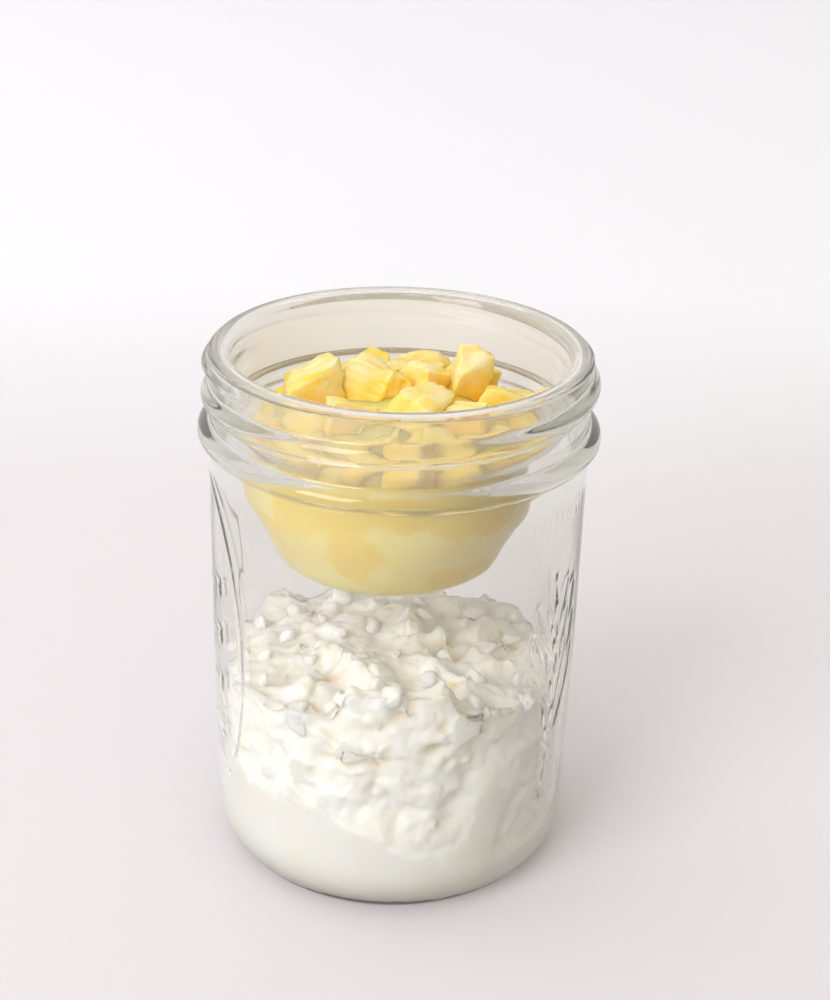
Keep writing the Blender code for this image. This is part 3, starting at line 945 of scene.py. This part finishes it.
@dataclass
class CottageCheese:
    """The heap of curds in cream that fills the lower half of the jar."""

    jar: GlassJar
    highest: float
    finish: CurdFinish = field(default_factory=CurdFinish)
    seed: int = 11
    reach: float = 0.16 * MM
    front: float = 53.0 * MM
    back: float = 44.0 * MM
    left: float = 48.5 * MM
    right: float = 48.0 * MM
    centre: float = 52.5 * MM
    roll: Point = (3.4 * MM, 9.0 * MM)
    mound_top: float = 58.6 * MM
    mound_middle: float = 1.5 * MM
    mound_half: float = 12.5 * MM
    mound_side: float = 4.0 * MM
    mound_depth: float = 6.5 * MM
    mound_brink: float = 2.5 * MM
    hollow_depth: float = 5.0 * MM
    hollow_place: float = 5.0 * MM
    hollow_half: float = 6.0 * MM
    voxel: float = 0.6 * MM
    clump_pitch: float = 8.4 * MM
    clump_radius: Point = (3.6 * MM, 5.6 * MM)
    curd_pitch: float = 4.3 * MM
    curd_radius: Point = (1.5 * MM, 3.0 * MM)
    curd_share: float = 0.4
    notch: Place = (10.3 * MM, 43.7 * MM, 4.0 * MM)
    notch_half: Point = (2.4 * MM, 1.3 * MM)
    lump_sizes: tuple[Point, ...] = ((9.5 * MM, 2.7 * MM), (4.4 * MM, 1.25 * MM), (2.3 * MM, 0.5 * MM))
    sway_shifts: Place = (3.0, 31.0, 57.0)
    shell: float = 5.0 * MM
    core_drop: float = 0.6 * MM
    core_recess: float = 0.7 * MM
    core_blend: float = 14.0 * MM
    cream_height: float = 20.0 * MM
    loose_count: int = 42
    loose_radius: Point = (1.4 * MM, 2.9 * MM)
    moulds: int = 9

    def wall(self) -> list[Point]:
        """Returns the outline of the cheese against the glass, just inside the glass itself."""
        middle, inner = (0.0, self.jar.floor_centre), self.jar.inner_outline()
        return offset_inwards([middle] + run(middle, inner[0], 3.0 * MM) + inner[1:], -self.reach)

    def level(self, x: float, y: float) -> float:
        """Returns the height of the heap over a point, before its curds."""
        wall_radius = self.jar.inner_middle
        reach = min(1.0, math.hypot(x, y) / wall_radius)
        angle = math.atan2(y, x)
        across = self.right if math.cos(angle) > 0.0 else self.left
        along = self.back if math.sin(angle) > 0.0 else self.front
        wall = across * math.cos(angle) ** 2 + along * math.sin(angle) ** 2
        roll = self.roll[0] * noise.noise(Vector((x, y, 0.0)) / self.roll[1])
        height = between(self.centre, wall, reach * reach) + roll
        side = float(smooth_step((self.mound_half - abs(x - self.mound_middle)) / self.mound_side + 0.5))
        inwards = wall_radius * (1.0 - reach)
        if y > 0.0 or side <= 0.0:
            return height
        mound = float(smooth_step((self.mound_depth - inwards) / self.mound_brink + 0.5))
        gap = (inwards - self.mound_depth - self.hollow_place) / self.hollow_half
        hollow = self.hollow_depth * max(0.0, 1.0 - gap * gap) * (1.0 - mound)
        return between(height, between(height, self.mound_top, mound) - hollow, side)

    def core(self) -> Piece:
        """Models the cream and small curds under the heap."""
        wall = [point for point in self.wall() if point[1] < self.back]
        middle = (0.0, self.back)
        outline = [middle] + run(middle, (wall[-1][0], self.back), 1.6 * MM) + wall[::-1]
        item = turned("cheese_core", outline, 144)
        places = places_of(item)
        for place in places:
            x, y, z = place
            radius = math.hypot(x, y)
            share = (z - self.back) / self.core_blend + 1.0
            if share > 0.0:
                place[2] = z + share * (self.level(x, y) - self.core_drop - self.back)
            if radius > 0.8 * self.jar.inner_middle and z > self.jar.floor_edge + 4.0 * MM:
                around = Vector((x, y, 0.0)) / (30.0 * MM) + Vector((7.0, 3.0, 1.0))
                cream = self.cream_height + 9.0 * MM * noise.noise(around)
                bare = min(1.0, max(0.0, (place[2] - cream) / (8.0 * MM)))
                patch = 0.45 + 1.1 * noise.noise(Vector(place) / (7.0 * MM))
                recess = bare * self.core_recess * min(1.0, max(0.0, patch))
                place[:2] *= (radius + 0.2 * MM - recess) / radius
        move_vertices(item, places)
        return item

    def curd(self, seed: int, subdivisions: int) -> Piece:
        """Models one curd of radius 1: an uneven lump with a few flatter sides.

        Args:
            seed: Gives each curd its own shape.
            subdivisions: How fine its mesh is.

        Returns:
            The curd, to be copied.
        """
        bpy.ops.object.select_all(action="DESELECT")
        bpy.ops.mesh.primitive_ico_sphere_add(subdivisions=subdivisions, radius=1.0)
        item = bpy.context.object
        draw = random.Random(seed)
        with editing(item):
            bpy.ops.transform.resize(value=(draw.uniform(1.1, 1.5), 1.0, draw.uniform(0.65, 0.95)))
        places = places_of(item)
        for _ in range(6):
            way = Vector((draw.gauss(0, 1), draw.gauss(0, 1), draw.gauss(0, 1))).normalized()
            limit = draw.uniform(0.5, 0.8)
            past = np.clip(places @ np.array(way) - limit, 0.0, None)
            places -= 0.75 * past[:, None] * np.array(way)
        swell = 1.0 + 0.3 * fine_noise(places, 0.8, seed) + 0.12 * fine_noise(places, 0.33, seed + 50)
        move_vertices(item, places * swell[:, None])
        return item

    def turned_place(self, draw: random.Random, place: Sequence[float], radius: float) -> Matrix:
        """Returns a place with a random turn and a slightly uneven scale."""
        turn = Euler([draw.uniform(0.0, math.tau) for _ in range(3)]).to_matrix().to_4x4()
        stretch = Matrix.Diagonal([radius * draw.uniform(0.85, 1.2) for _ in range(3)]).to_4x4()
        return Matrix.Translation(place) @ turn @ stretch

    def scatter(
        self, draw: random.Random, pitch: float, radii: Point, share: float, drop: float
    ) -> list[Matrix]:
        """Returns places for lumps near the heap's top and its wall.

        Args:
            draw: Where the random numbers come from.
            pitch: How far the lumps are apart.
            radii: Their smallest and largest radius.
            share: The share of the places that is used.
            drop: How far under the heap's top a lump's middle lies at least, as a share of its radius.

        Returns:
            One place for each lump.
        """
        half = int(self.jar.inner_middle / pitch) + 1
        columns = range(-half, half + 1)
        layers = range(1, int(self.highest / pitch) + 2)
        found = []
        for i, j, k in product(columns, columns, layers):
            x = (i + 0.5 * (k % 2) + draw.uniform(-0.42, 0.42)) * pitch
            y = (j + 0.5 * (k % 2) + draw.uniform(-0.42, 0.42)) * pitch
            z = (k + draw.uniform(-0.42, 0.42)) * pitch
            size = radii[0] + (radii[1] - radii[0]) * draw.random() ** 1.6
            used = draw.random() < share
            place = self.turned_place(draw, (x, y, z), size)
            top = self.level(x, y) - drop * size
            depth = self.jar.inner_radius(np.array(z)) - math.hypot(x, y)
            in_shell = depth < self.shell or z > top - self.shell
            if used and z < top and depth > 0.25 * size and in_shell:
                found.append(place)
        return found

    def build_heap(self) -> Piece:
        """Models the curds in their cream as one uneven body that reaches just into the glass."""
        draw = random.Random(self.seed)
        moulds = [self.curd(seed, 2) for seed in range(self.moulds)]
        items = [self.core()]
        places = self.scatter(draw, self.clump_pitch, self.clump_radius, 0.75, 0.6)
        places += self.scatter(draw, self.curd_pitch, self.curd_radius, self.curd_share, 0.3)
        for index, place in enumerate(places):
            items.append(copy_at(moulds[index % len(moulds)], place))
        discard(moulds)
        item = joined("cheese_in_cream", items)
        item.data.remesh_voxel_size = self.voxel
        select_only(item)
        bpy.ops.object.voxel_remesh()
        self.relax(item, 4)
        self.break_up(item)
        self.relax(item, 1)
        self.roughen(item, 0.16 * MM, 1.7 * MM)
        self.press_into_glass(item)
        self.note_crease_shade(item)
        smooth(item)
        return item

    def build_loose(self) -> Piece:
        """Models the separate curds that lie on the heap."""
        draw = random.Random(self.seed + 1)
        moulds = [self.curd(seed + 20, 3) for seed in range(self.moulds)]
        items = []
        for index in range(self.loose_count):
            reach = self.jar.inner_middle * math.sqrt((index + 0.5) / self.loose_count)
            angle = math.radians(137.508) * index
            size = draw.uniform(*self.loose_radius)
            reach = min(reach, self.jar.inner_middle - 0.9 * size)
            x, y = reach * math.cos(angle), reach * math.sin(angle)
            z = self.level(x, y) - draw.uniform(0.4, 1.3) * size
            z = min(z, self.highest - 1.1 * size)
            items.append(copy_at(moulds[index % len(moulds)], self.turned_place(draw, (x, y, z), size)))
        discard(moulds)
        item = joined("loose_curds", items)
        self.roughen(item, 0.12 * MM, 1.2 * MM)
        self.press_into_glass(item)
        # The loose curds get no painted shade.
        crease_shade = item.data.attributes.new(CREASE_SHADE_ATTRIBUTE, "FLOAT", "POINT")
        crease_shade.data.foreach_set("value", np.zeros(len(item.data.vertices)))
        smooth(item)
        return item

    def break_up(self, item: Piece) -> None:
        """Breaks a mesh into uneven lumps of several sizes, with creases between them."""
        places = places_of(item)
        cream = self.cream_height - 0.3 * places[:, 0]
        bare = smooth_step((places[:, 2] - cream + 6.0 * MM) / (14.0 * MM))
        patch = smooth_step(0.75 + 1.6 * fine_noise(places, 15.0 * MM, 6.0))
        on_glass = smooth_step((self.back - 2.0 * MM - places[:, 2]) / (4.0 * MM))
        bare *= 1.0 - on_glass * (1.0 - patch)
        sunk = np.zeros(len(places))
        shifts = [Vector((shift, 0.0, 0.0)) for shift in self.sway_shifts]
        for index in np.flatnonzero(bare):
            point = Vector(places[index])
            sway = 0.45 * Vector([noise.noise(point / (5.0 * MM) + shift) for shift in shifts])
            for size, depth in self.lump_sizes:
                near = min(1.0, noise.voronoi(point / size + sway)[0][0])
                sunk[index] += depth * near * near
        across, up, depth = self.notch
        half_across, half_up = self.notch_half
        spread = ((places[:, 0] - across) / half_across) ** 2 + ((places[:, 2] - up) / half_up) ** 2
        carved = bare * sunk + depth * np.exp(-spread) * (places[:, 1] < 0.0)
        move_vertices(item, places - carved[:, None] * normals_of(item))

    def relax(self, item: Piece, passes: int) -> None:
        """Smooths a mesh, so that lumps that touch run into each other."""
        select_only(item)
        modifier = item.modifiers.new("relax", "SMOOTH")
        modifier.factor = 0.5
        modifier.iterations = passes
        bpy.ops.object.modifier_apply(modifier=modifier.name)

    def note_crease_shade(self, item: Piece) -> None:
        """Notes on each vertex how deep it lies in a hollow between lumps, from 0 to 1, where the finish
        paints shade.
        """
        softened = copy_at(item, Matrix())
        self.relax(softened, 14)
        fill = ((places_of(softened) - places_of(item)) * normals_of(item)).sum(axis=1)
        discard([softened])
        crease_shade = item.data.attributes.new(CREASE_SHADE_ATTRIBUTE, "FLOAT", "POINT")
        crease_shade.data.foreach_set("value", smooth_step((fill - 0.04 * MM) / (0.42 * MM)))

    def roughen(self, item: Piece, depth: float, size: float) -> None:
        """Gives a mesh the fine unevenness of curds.

        Args:
            item: The mesh object.
            depth: How far a point moves at most.
            size: The size of the unevenness.
        """
        places = places_of(item)
        lift = depth * fine_noise(places, size, self.seed, 2)
        move_vertices(item, places + lift[:, None] * normals_of(item))

    def press_into_glass(self, item: Piece) -> None:
        """Flattens what passes the glass, just inside the glass itself, and what rises past the heap's
        highest point.
        """
        places = places_of(item)
        radius = radii_of(places)
        wall = np.array(self.wall())
        on_side = wall[:, 0] > self.jar.inner_heel_radius - self.jar.inner_heel_round[0]
        side, bottom = wall[on_side], wall[~on_side]
        limit = np.interp(places[:, 2], side[:, 1], side[:, 0])
        scale = np.minimum(1.0, limit / np.maximum(radius, MM))
        widen(places, scale)
        floor = np.interp(radius * scale, bottom[:, 0], bottom[:, 1])
        places[:, 2] = np.clip(places[:, 2], floor, self.highest)
        move_vertices(item, places)

    def dress(self, heap: Piece, loose: Piece) -> None:
        """Gives the cheese its finish and its place in the model."""
        material = self.finish.material()
        for item in (heap, loose):
            item.data.materials.clear()
            item.data.materials.append(material)
            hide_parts("cottage_cheese")
            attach(item, BODY)


# --------------------------------------------------------------------------------------------------
# The fruit cup and the pineapple
# --------------------------------------------------------------------------------------------------


@dataclass
class FruitCup:
    """The thin plastic cup whose flange lies on the jar's lip."""

    flange_top: float
    flange_radius: float
    base: float
    finish: MilkyPlastic = field(default_factory=MilkyPlastic)
    columns: int = 160
    thickness: float = 0.7 * MM
    flange_thickness: float = 0.9 * MM
    rim_round: float = 0.4 * MM
    curl: float = 2.0 * MM
    collar_top: Point = (37.2 * MM, 118.2 * MM)
    collar_foot: Point = (36.6 * MM, 108.0 * MM)
    bowl_top: Point = (31.0 * MM, 99.5 * MM)
    waist: Point = (30.2 * MM, 88.0 * MM)
    foot: Point = (26.6 * MM, 77.2 * MM)
    base_radius: float = 19.5 * MM
    lean: float = 2.0 * MM
    lean_height: float = 10.0 * MM
    wave_depth: float = 0.12 * MM
    wave_size: float = 16.0 * MM

    def outside(self) -> list[Point]:
        """Returns the outside of the wall, from the base's edge over the bowl and up the collar."""
        start = (self.base_radius, self.base)
        bend = (self.foot[0] - 2.4 * MM, self.base + 1.7 * MM)
        points = curve_through([start, bend, self.foot, self.waist, self.bowl_top], 12)
        points += flank(points[-1], self.collar_foot, 0.6 * MM)
        points += run(points[-1], self.collar_top, 1.5 * MM)
        return points

    def inside(self) -> list[Point]:
        """Returns the inside of the wall, from the floor's edge up to the top of the collar."""
        return offset_inwards(self.outside(), self.thickness)

    def outline(self) -> list[Point]:
        """Returns the whole section, from the middle of its floor round the flange to its base."""
        inside, outside = self.inside(), self.outside()
        top, low, rim = self.flange_top, self.flange_top - self.flange_thickness, self.rim_round
        middle = (0.0, inside[0][1])
        points = [middle] + run(middle, inside[0], 6.0 * MM)[:-1] + inside
        points += self.curl_from(inside[-1], top)[1:]
        points += arc((self.flange_radius - rim, top - rim), (rim, rim), 90.0, 0.0, 3)
        points += [(self.flange_radius, low)] + self.curl_from(outside[-1], low)[::-1]
        points += outside[-2::-1] + run(outside[0], (0.0, self.base), 6.0 * MM)
        return points

    def curl_from(self, edge: Point, height: float) -> list[Point]:
        """Returns the curve that leads from the top of the collar out to the flange."""
        return arc((edge[0] + self.curl, edge[1]), (self.curl, height - edge[1]), 180.0, 90.0, 8)

    def inner_radius(self, height: np.ndarray) -> np.ndarray:
        """Returns the radius of the inner wall at each height."""
        wall = np.array(self.inside())
        return np.interp(height, wall[:, 1], wall[:, 0])

    def build(self) -> Piece:
        """Models the cup."""
        item = turned("plastic_cup", self.outline(), self.columns)
        places = places_of(item)
        soft = smooth_step((self.flange_top - 4.0 * MM - places[:, 2]) / (10.0 * MM))
        wave = self.wave_depth * fine_noise(places * np.array((1.0, 1.0, 0.5)), self.wave_size, 9.0)
        widen(places, 1.0 + wave * soft / np.maximum(radii_of(places), 5.0 * MM))
        move_vertices(item, places)
        self.lean_over(item)
        smooth(item)
        return item

    def lean_over(self, item: Piece) -> None:
        """Moves what lies in the bowl, and the bowl itself, a little towards -X, under the collar."""
        places = places_of(item)
        places[:, 0] -= self.lean * smooth_step((self.collar_foot[1] - places[:, 2]) / self.lean_height)
        move_vertices(item, places)

    def dress(self, item: Piece) -> None:
        """Gives the cup its finish and its place in the model."""
        item.data.materials.append(self.finish.material())
        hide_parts("fruit_cup")
        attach(item, BODY)


@dataclass(frozen=True)
class FruitPiece:
    """One piece of fruit that shows: its middle and size in millimetres, and its turn in degrees."""

    middle: Place
    size: Place
    turn: Place


@dataclass
class Pineapple:
    """The heap of pineapple pieces in their juice, which fills the cup."""

    cup: FruitCup
    highest: float
    flesh: FruitFlesh = field(default_factory=FruitFlesh)
    juice: FruitJuice = field(default_factory=FruitJuice)
    seed: int = 5
    reach: float = 0.2 * MM
    clearance: float = 0.35 * MM
    juice_edge: float = 100.5 * MM
    brink: Point = (3.0 * MM, 105.3 * MM)
    ripple: float = 0.6 * MM
    ripple_size: float = 7.0 * MM
    juice_centre: float = 109.0 * MM
    piece_size: Place = (13.0 * MM, 10.0 * MM, 9.0 * MM)
    moulds: int = 5
    tiers: int = 4
    ring_insets: Point = (4.0 * MM, 15.0 * MM)
    ring_pitch: float = 11.5 * MM
    shown_cuts: int = 4
    packed_cuts: int = 3
    shown: tuple[FruitPiece, ...] = (
        FruitPiece((-19.5, 3.0, 108.2), (12.0, 11.0, 12.0), (8.0, -18.0, 20.0)),
        FruitPiece((-6.5, 5.0, 108.6), (11.5, 10.5, 12.0), (-12.0, 10.0, -30.0)),
        FruitPiece((4.0, 9.0, 107.5), (8.0, 9.0, 13.0), (12.0, 14.0, 35.0)),
        FruitPiece((14.6, 9.5, 110.6), (8.8, 9.5, 14.4), (4.0, 12.0, 14.0)),
        FruitPiece((22.5, 1.0, 106.0), (9.0, 11.0, 10.0), (-8.0, 18.0, -12.0)),
        FruitPiece((3.5, -6.0, 107.4), (12.0, 10.5, 11.5), (24.0, 10.0, 52.0)),
        FruitPiece((-10.5, -9.5, 105.5), (12.5, 10.5, 10.5), (-16.0, 12.0, 12.0)),
        FruitPiece((14.5, -7.5, 105.5), (11.5, 10.5, 11.0), (12.0, -16.0, -34.0)),
        FruitPiece((-20.5, -8.0, 103.8), (10.5, 10.5, 10.0), (10.0, 18.0, -40.0)),
        FruitPiece((1.0, 20.0, 105.0), (12.0, 10.0, 11.0), (10.0, 6.0, 20.0)),
        FruitPiece((-14.0, 17.0, 104.5), (12.0, 11.0, 10.0), (-12.0, 8.0, 50.0)),
        FruitPiece((16.0, 18.5, 104.0), (11.0, 11.0, 10.0), (8.0, -10.0, -20.0)),
        FruitPiece((-3.5, -19.5, 102.5), (12.5, 10.5, 10.5), (-14.0, 8.0, 80.0)),
        FruitPiece((8.0, -18.0, 103.0), (11.5, 10.5, 10.5), (10.0, 14.0, 15.0)),
        FruitPiece((18.5, -14.0, 102.5), (11.0, 10.5, 10.0), (16.0, -8.0, -48.0)),
        FruitPiece((-14.5, -18.0, 101.8), (11.0, 10.5, 10.0), (12.0, 10.0, 30.0)),
    )

    def mould(self, seed: int, cuts: int) -> Piece:
        """Models one piece of unit size: a wedge cut from a ring, with soft edges and fibres along X.

        Args:
            seed: Gives each piece its own shape.
            cuts: How fine its mesh is.

        Returns:
            The piece, to be copied.
        """
        bpy.ops.object.select_all(action="DESELECT")
        bpy.ops.mesh.primitive_cube_add(size=1.0)
        item = bpy.context.object
        draw = random.Random(seed)
        corners = places_of(item)
        corners[:, 1] *= np.where(corners[:, 0] > 0.0, draw.uniform(0.55, 0.8), 1.0)
        corners += np.array([[draw.uniform(-0.19, 0.19) for _ in range(3)] for _ in corners])
        move_vertices(item, corners)
        with editing(item):
            bpy.ops.mesh.bevel(offset=0.09, segments=2, profile=0.55, affect="EDGES")
            bpy.ops.mesh.subdivide(number_cuts=cuts, smoothness=0.45)
        places = places_of(item)
        places *= 1.0 + 0.2 * fine_noise(places, 0.45, seed + 3.0)[:, None]
        fibres = 0.06 * fine_noise(places * np.array((0.35, 1.0, 1.0)), 0.13, seed + 8.0)
        ragged = 0.07 * fine_noise(places, 0.16, seed + 5.0)
        places[:, 1:] += np.sign(places[:, 1:]) * fibres[:, None]
        places[:, 0] += ragged
        move_vertices(item, places)
        return item

    def copy_piece(self, mould: Piece, size: Place, place: Matrix, index: int) -> Piece:
        """Copies a piece and notes its own fibre direction on the copy.

        Args:
            mould: The unit piece.
            size: Its size along, across and up.
            place: Where it goes and how it lies.
            index: Moves the fibre pattern, so that no two pieces share it.

        Returns:
            The copy.
        """
        copy = copy_at(mould, Matrix.Diagonal(size).to_4x4())
        own = places_of(copy) + np.array((0.05 * index, 0.03 * index, 0.0))
        attribute = copy.data.attributes.new(FIBRE_ATTRIBUTE, "FLOAT_VECTOR", "POINT")
        attribute.data.foreach_set("vector", own.ravel())
        copy.data.transform(place)
        return copy

    def packed_places(self, draw: random.Random) -> list[tuple[Place, Matrix]]:
        """Returns the pieces under the heap: (size, place), ring on ring up the cup's wall."""
        found = []
        low, high = self.cup.base + 5.5 * MM, self.juice_edge + 1.5 * MM
        for tier, height in enumerate(np.linspace(low, high, self.tiers)):
            wall = float(self.cup.inner_radius(np.array(height)))
            for inset in self.ring_insets:
                ring = wall - inset
                hidden = inset == self.ring_insets[1] and tier < self.tiers - 1
                count = max(3, round(math.tau * ring / self.ring_pitch))
                for step in range(count):
                    angle = math.tau * (step + 0.5 * (tier % 2) + draw.uniform(-0.15, 0.15)) / count
                    place = Vector((ring * math.cos(angle), ring * math.sin(angle), height))
                    place.z += draw.uniform(-1.2, 1.2) * MM
                    tilt = (draw.uniform(-0.5, 0.5), draw.uniform(-0.5, 0.5))
                    turn = Euler((*tilt, angle + draw.uniform(-1.2, 1.2))).to_matrix().to_4x4()
                    size = tuple(side * draw.uniform(0.85, 1.15) for side in self.piece_size)
                    if not hidden:
                        found.append((size, Matrix.Translation(place) @ turn))
        return found

    def shown_places(self) -> list[tuple[Place, Matrix]]:
        """Returns the pieces that show, as (size, place)."""
        found = []
        for piece in self.shown:
            turn = Euler([math.radians(angle) for angle in piece.turn]).to_matrix().to_4x4()
            size = tuple(side * MM for side in piece.size)
            found.append((size, Matrix.Translation(Vector(piece.middle) * MM) @ turn))
        return found

    def build_pieces(self) -> Piece:
        """Models the pieces of fruit, finer where they show."""
        items = []
        packed = self.packed_places(random.Random(self.seed))
        for found, cuts in ((self.shown_places(), self.shown_cuts), (packed, self.packed_cuts)):
            moulds = [self.mould(seed, cuts) for seed in range(self.moulds)]
            for size, place in found:
                items.append(self.copy_piece(moulds[len(items) % self.moulds], size, place, len(items)))
            discard(moulds)
        item = joined("pineapple_pieces", items)
        self.press_into_cup(item)
        self.cup.lean_over(item)
        smooth(item)
        return item

    def build_juice(self) -> Piece:
        """Models the juice and pulp that fill the spaces between the pieces."""
        inside = [point for point in self.cup.inside() if point[1] < self.juice_edge]
        middle, brink = (0.0, self.juice_centre), (inside[-1][0] - self.brink[0], self.brink[1])
        outline = [middle] + run(middle, brink, 2.0 * MM)
        outline += run(brink, (inside[-1][0], self.juice_edge), 1.0 * MM)[:-1] + inside[::-1]
        outline += run(inside[0], (0.0, inside[0][1]), 3.0 * MM)
        item = turned("pineapple_juice", outline, 128)
        places = places_of(item)
        on_top = places[:, 2] > self.juice_edge - MM
        places[on_top, 2] += self.ripple * fine_noise(places[on_top], self.ripple_size, 4.0)
        widen(places, 1.0 + self.reach / np.maximum(radii_of(places), 10.0 * MM))
        move_vertices(item, places)
        self.cup.lean_over(item)
        smooth(item)
        return item

    def press_into_cup(self, item: Piece) -> None:
        """Flattens what passes the cup's wall or floor, just inside the plastic."""
        places = places_of(item)
        limit = self.cup.inner_radius(places[:, 2]) - self.clearance
        widen(places, np.minimum(1.0, limit / np.maximum(radii_of(places), MM)))
        floor = self.cup.base + self.cup.thickness + self.clearance
        places[:, 2] = np.clip(places[:, 2], floor, self.highest)
        move_vertices(item, places)

    def dress(self, pieces: Piece, juice: Piece) -> None:
        """Gives the fruit its finishes and its place in the model."""
        for item, material in ((pieces, self.flesh.material()), (juice, self.juice.material())):
            item.data.materials.clear()
            item.data.materials.append(material)
            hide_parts("pineapple")
            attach(item, BODY)


# --------------------------------------------------------------------------------------------------
# The studio
# --------------------------------------------------------------------------------------------------


@dataclass(frozen=True)
class Lamp:
    """One soft rectangular lamp that looks at the jar."""

    name: str
    place: Place
    size: Point
    power: float
    colour: Colour


@dataclass
class Studio:
    """The pale sweep, the soft lamps, the room's light and the camera."""

    aim: Place = (0.0039, 0.0, 0.0852)
    camera_distance: float = 0.3888
    camera_elevation: float = 25.07
    camera_roll: float = 1.76
    focal_length: float = 62.24
    sweep_half_width: float = 1.6
    sweep_front: float = -1.5
    sweep_bend: float = 0.18
    sweep_round: float = 0.16
    sweep_top: float = 1.3
    paper: StudioPaper = field(default_factory=StudioPaper)
    room_strength: float = 0.765
    room_span: Point = (-0.2, 1.0)
    room: Stops = (
        (0.0, (0.74, 0.7, 0.63)),
        (0.3, (0.92, 0.87, 0.78)),
        (0.7, (0.98, 0.93, 0.84)),
        (1.0, (0.94, 0.9, 0.82)),
    )
    lamps: tuple[Lamp, ...] = (
        Lamp("window_lamp", (-1.15, -1.3, 1.2), (1.1, 1.1), 22.0, (0.88, 0.88, 1.0)),
        Lamp("top_lamp", (-0.2, 0.2, 1.3), (1.2, 1.2), 2.6, (1.0, 0.98, 0.95)),
    )

    def build_sweep(self) -> Piece:
        """Models the floor that bends up into the backdrop."""
        item = speck("sweep", (-self.sweep_half_width, self.sweep_front, 0.0))
        rounding = (self.sweep_round, self.sweep_round)
        path = [(self.sweep_front, 0.0)]
        path += arc((self.sweep_bend, self.sweep_round), rounding, -90.0, 0.0, 32)
        path += [(self.sweep_bend + self.sweep_round, self.sweep_top)]
        with editing(item):
            bpy.ops.mesh.merge(type="CENTER")
            draw_out([(0.0, far[0] - near[0], far[1] - near[1]) for near, far in pairwise(path)])
            bpy.ops.mesh.select_all(action="SELECT")
            draw_out([(2.0 * self.sweep_half_width, 0.0, 0.0)])
            bpy.ops.mesh.select_all(action="SELECT")
            bpy.ops.mesh.normals_make_consistent(inside=False)
        smooth(item)
        item.data.materials.append(self.paper.material())
        return item

    def light(self) -> None:
        """Hangs the lamps and sets the room's own light."""
        for lamp in self.lamps:
            bpy.ops.object.light_add(type="AREA", location=lamp.place)
            item = bpy.context.object
            item.name = lamp.name
            item.data.shape = "RECTANGLE"
            item.data.size, item.data.size_y = lamp.size
            item.data.energy = lamp.power
            item.data.color = lamp.colour
            aim = Vector(self.aim) - Vector(lamp.place)
            item.rotation_euler = aim.to_track_quat("-Z", "Y").to_euler()
        world = bpy.data.worlds.new("room")
        bpy.context.scene.world = world
        world.use_nodes = True
        sheet = NodeSheet(world.node_tree)
        direction = sheet.add("ShaderNodeTexCoord").outputs["Generated"]
        share = sheet.range(sheet.split(direction, "Z"), (0.0, 1.0), self.room_span)
        backdrop = world.node_tree.nodes["Background"]
        sheet.feed(backdrop, {"Color": sheet.ramp(share, self.room), "Strength": self.room_strength})

    def set_camera(self) -> None:
        """Sets the camera in front of the jar, looking down on it, a little rolled."""
        elevation = math.radians(self.camera_elevation)
        roll = math.radians(self.camera_roll)
        forward = Vector((0.0, math.cos(elevation), -math.sin(elevation)))
        level_right = Vector((1.0, 0.0, 0.0))
        level_up = level_right.cross(forward)
        right = math.cos(roll) * level_right + math.sin(roll) * level_up
        up = math.cos(roll) * level_up - math.sin(roll) * level_right
        place = Vector(self.aim) - self.camera_distance * forward
        bpy.ops.object.camera_add(location=place)
        camera = bpy.context.object
        camera.name = "camera"
        turn = Matrix((right, up, -forward)).transposed().to_4x4()
        camera.matrix_world = Matrix.Translation(place) @ turn
        camera.data.sensor_fit = "AUTO"
        camera.data.sensor_width = 36.0
        camera.data.lens = self.focal_length
        camera.data.clip_start = 0.01
        bpy.context.scene.camera = camera

    def set_light_paths(self) -> None:
        """Lets light pass through all the walls of glass and plastic, with plain colours."""
        scene = bpy.context.scene
        scene.view_settings.view_transform = "Standard"
        scene.cycles.max_bounces = 40
        scene.cycles.transmission_bounces = 32
        scene.cycles.glossy_bounces = 32
        scene.cycles.diffuse_bounces = 6
        scene.cycles.transparent_max_bounces = 24


def main() -> None:
    """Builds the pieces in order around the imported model."""
    logging.basicConfig(level=logging.INFO, format="%(name)s: %(message)s")
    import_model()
    studio = Studio()
    studio.set_camera()
    studio.set_light_paths()
    studio.build_sweep()
    studio.light()

    _, jar_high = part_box("jar")
    _, cheese_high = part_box("cottage_cheese")
    cup_low, cup_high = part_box("fruit_cup")
    _, fruit_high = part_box("pineapple")

    jar = GlassJar(lip_top=jar_high.z, bead_radius=jar_high.x)
    glass = jar.build()
    jar.dress(glass)

    cheese = CottageCheese(jar=jar, highest=cheese_high.z + 2.0 * MM)
    heap = cheese.build_heap()
    loose = cheese.build_loose()
    cheese.dress(heap, loose)

    cup = FruitCup(flange_top=cup_high.z, flange_radius=cup_high.x, base=cup_low.z)
    plastic = cup.build()
    cup.dress(plastic)

    fruit = Pineapple(cup=cup, highest=fruit_high.z + 0.5 * MM)
    pieces = fruit.build_pieces()
    juice = fruit.build_juice()
    fruit.dress(pieces, juice)

    for piece in (glass, heap, loose, plastic, pieces, juice):
        LOG.info("%s: %d triangles", piece.name, triangles_in(piece))


if __name__ == "__main__":
    main()
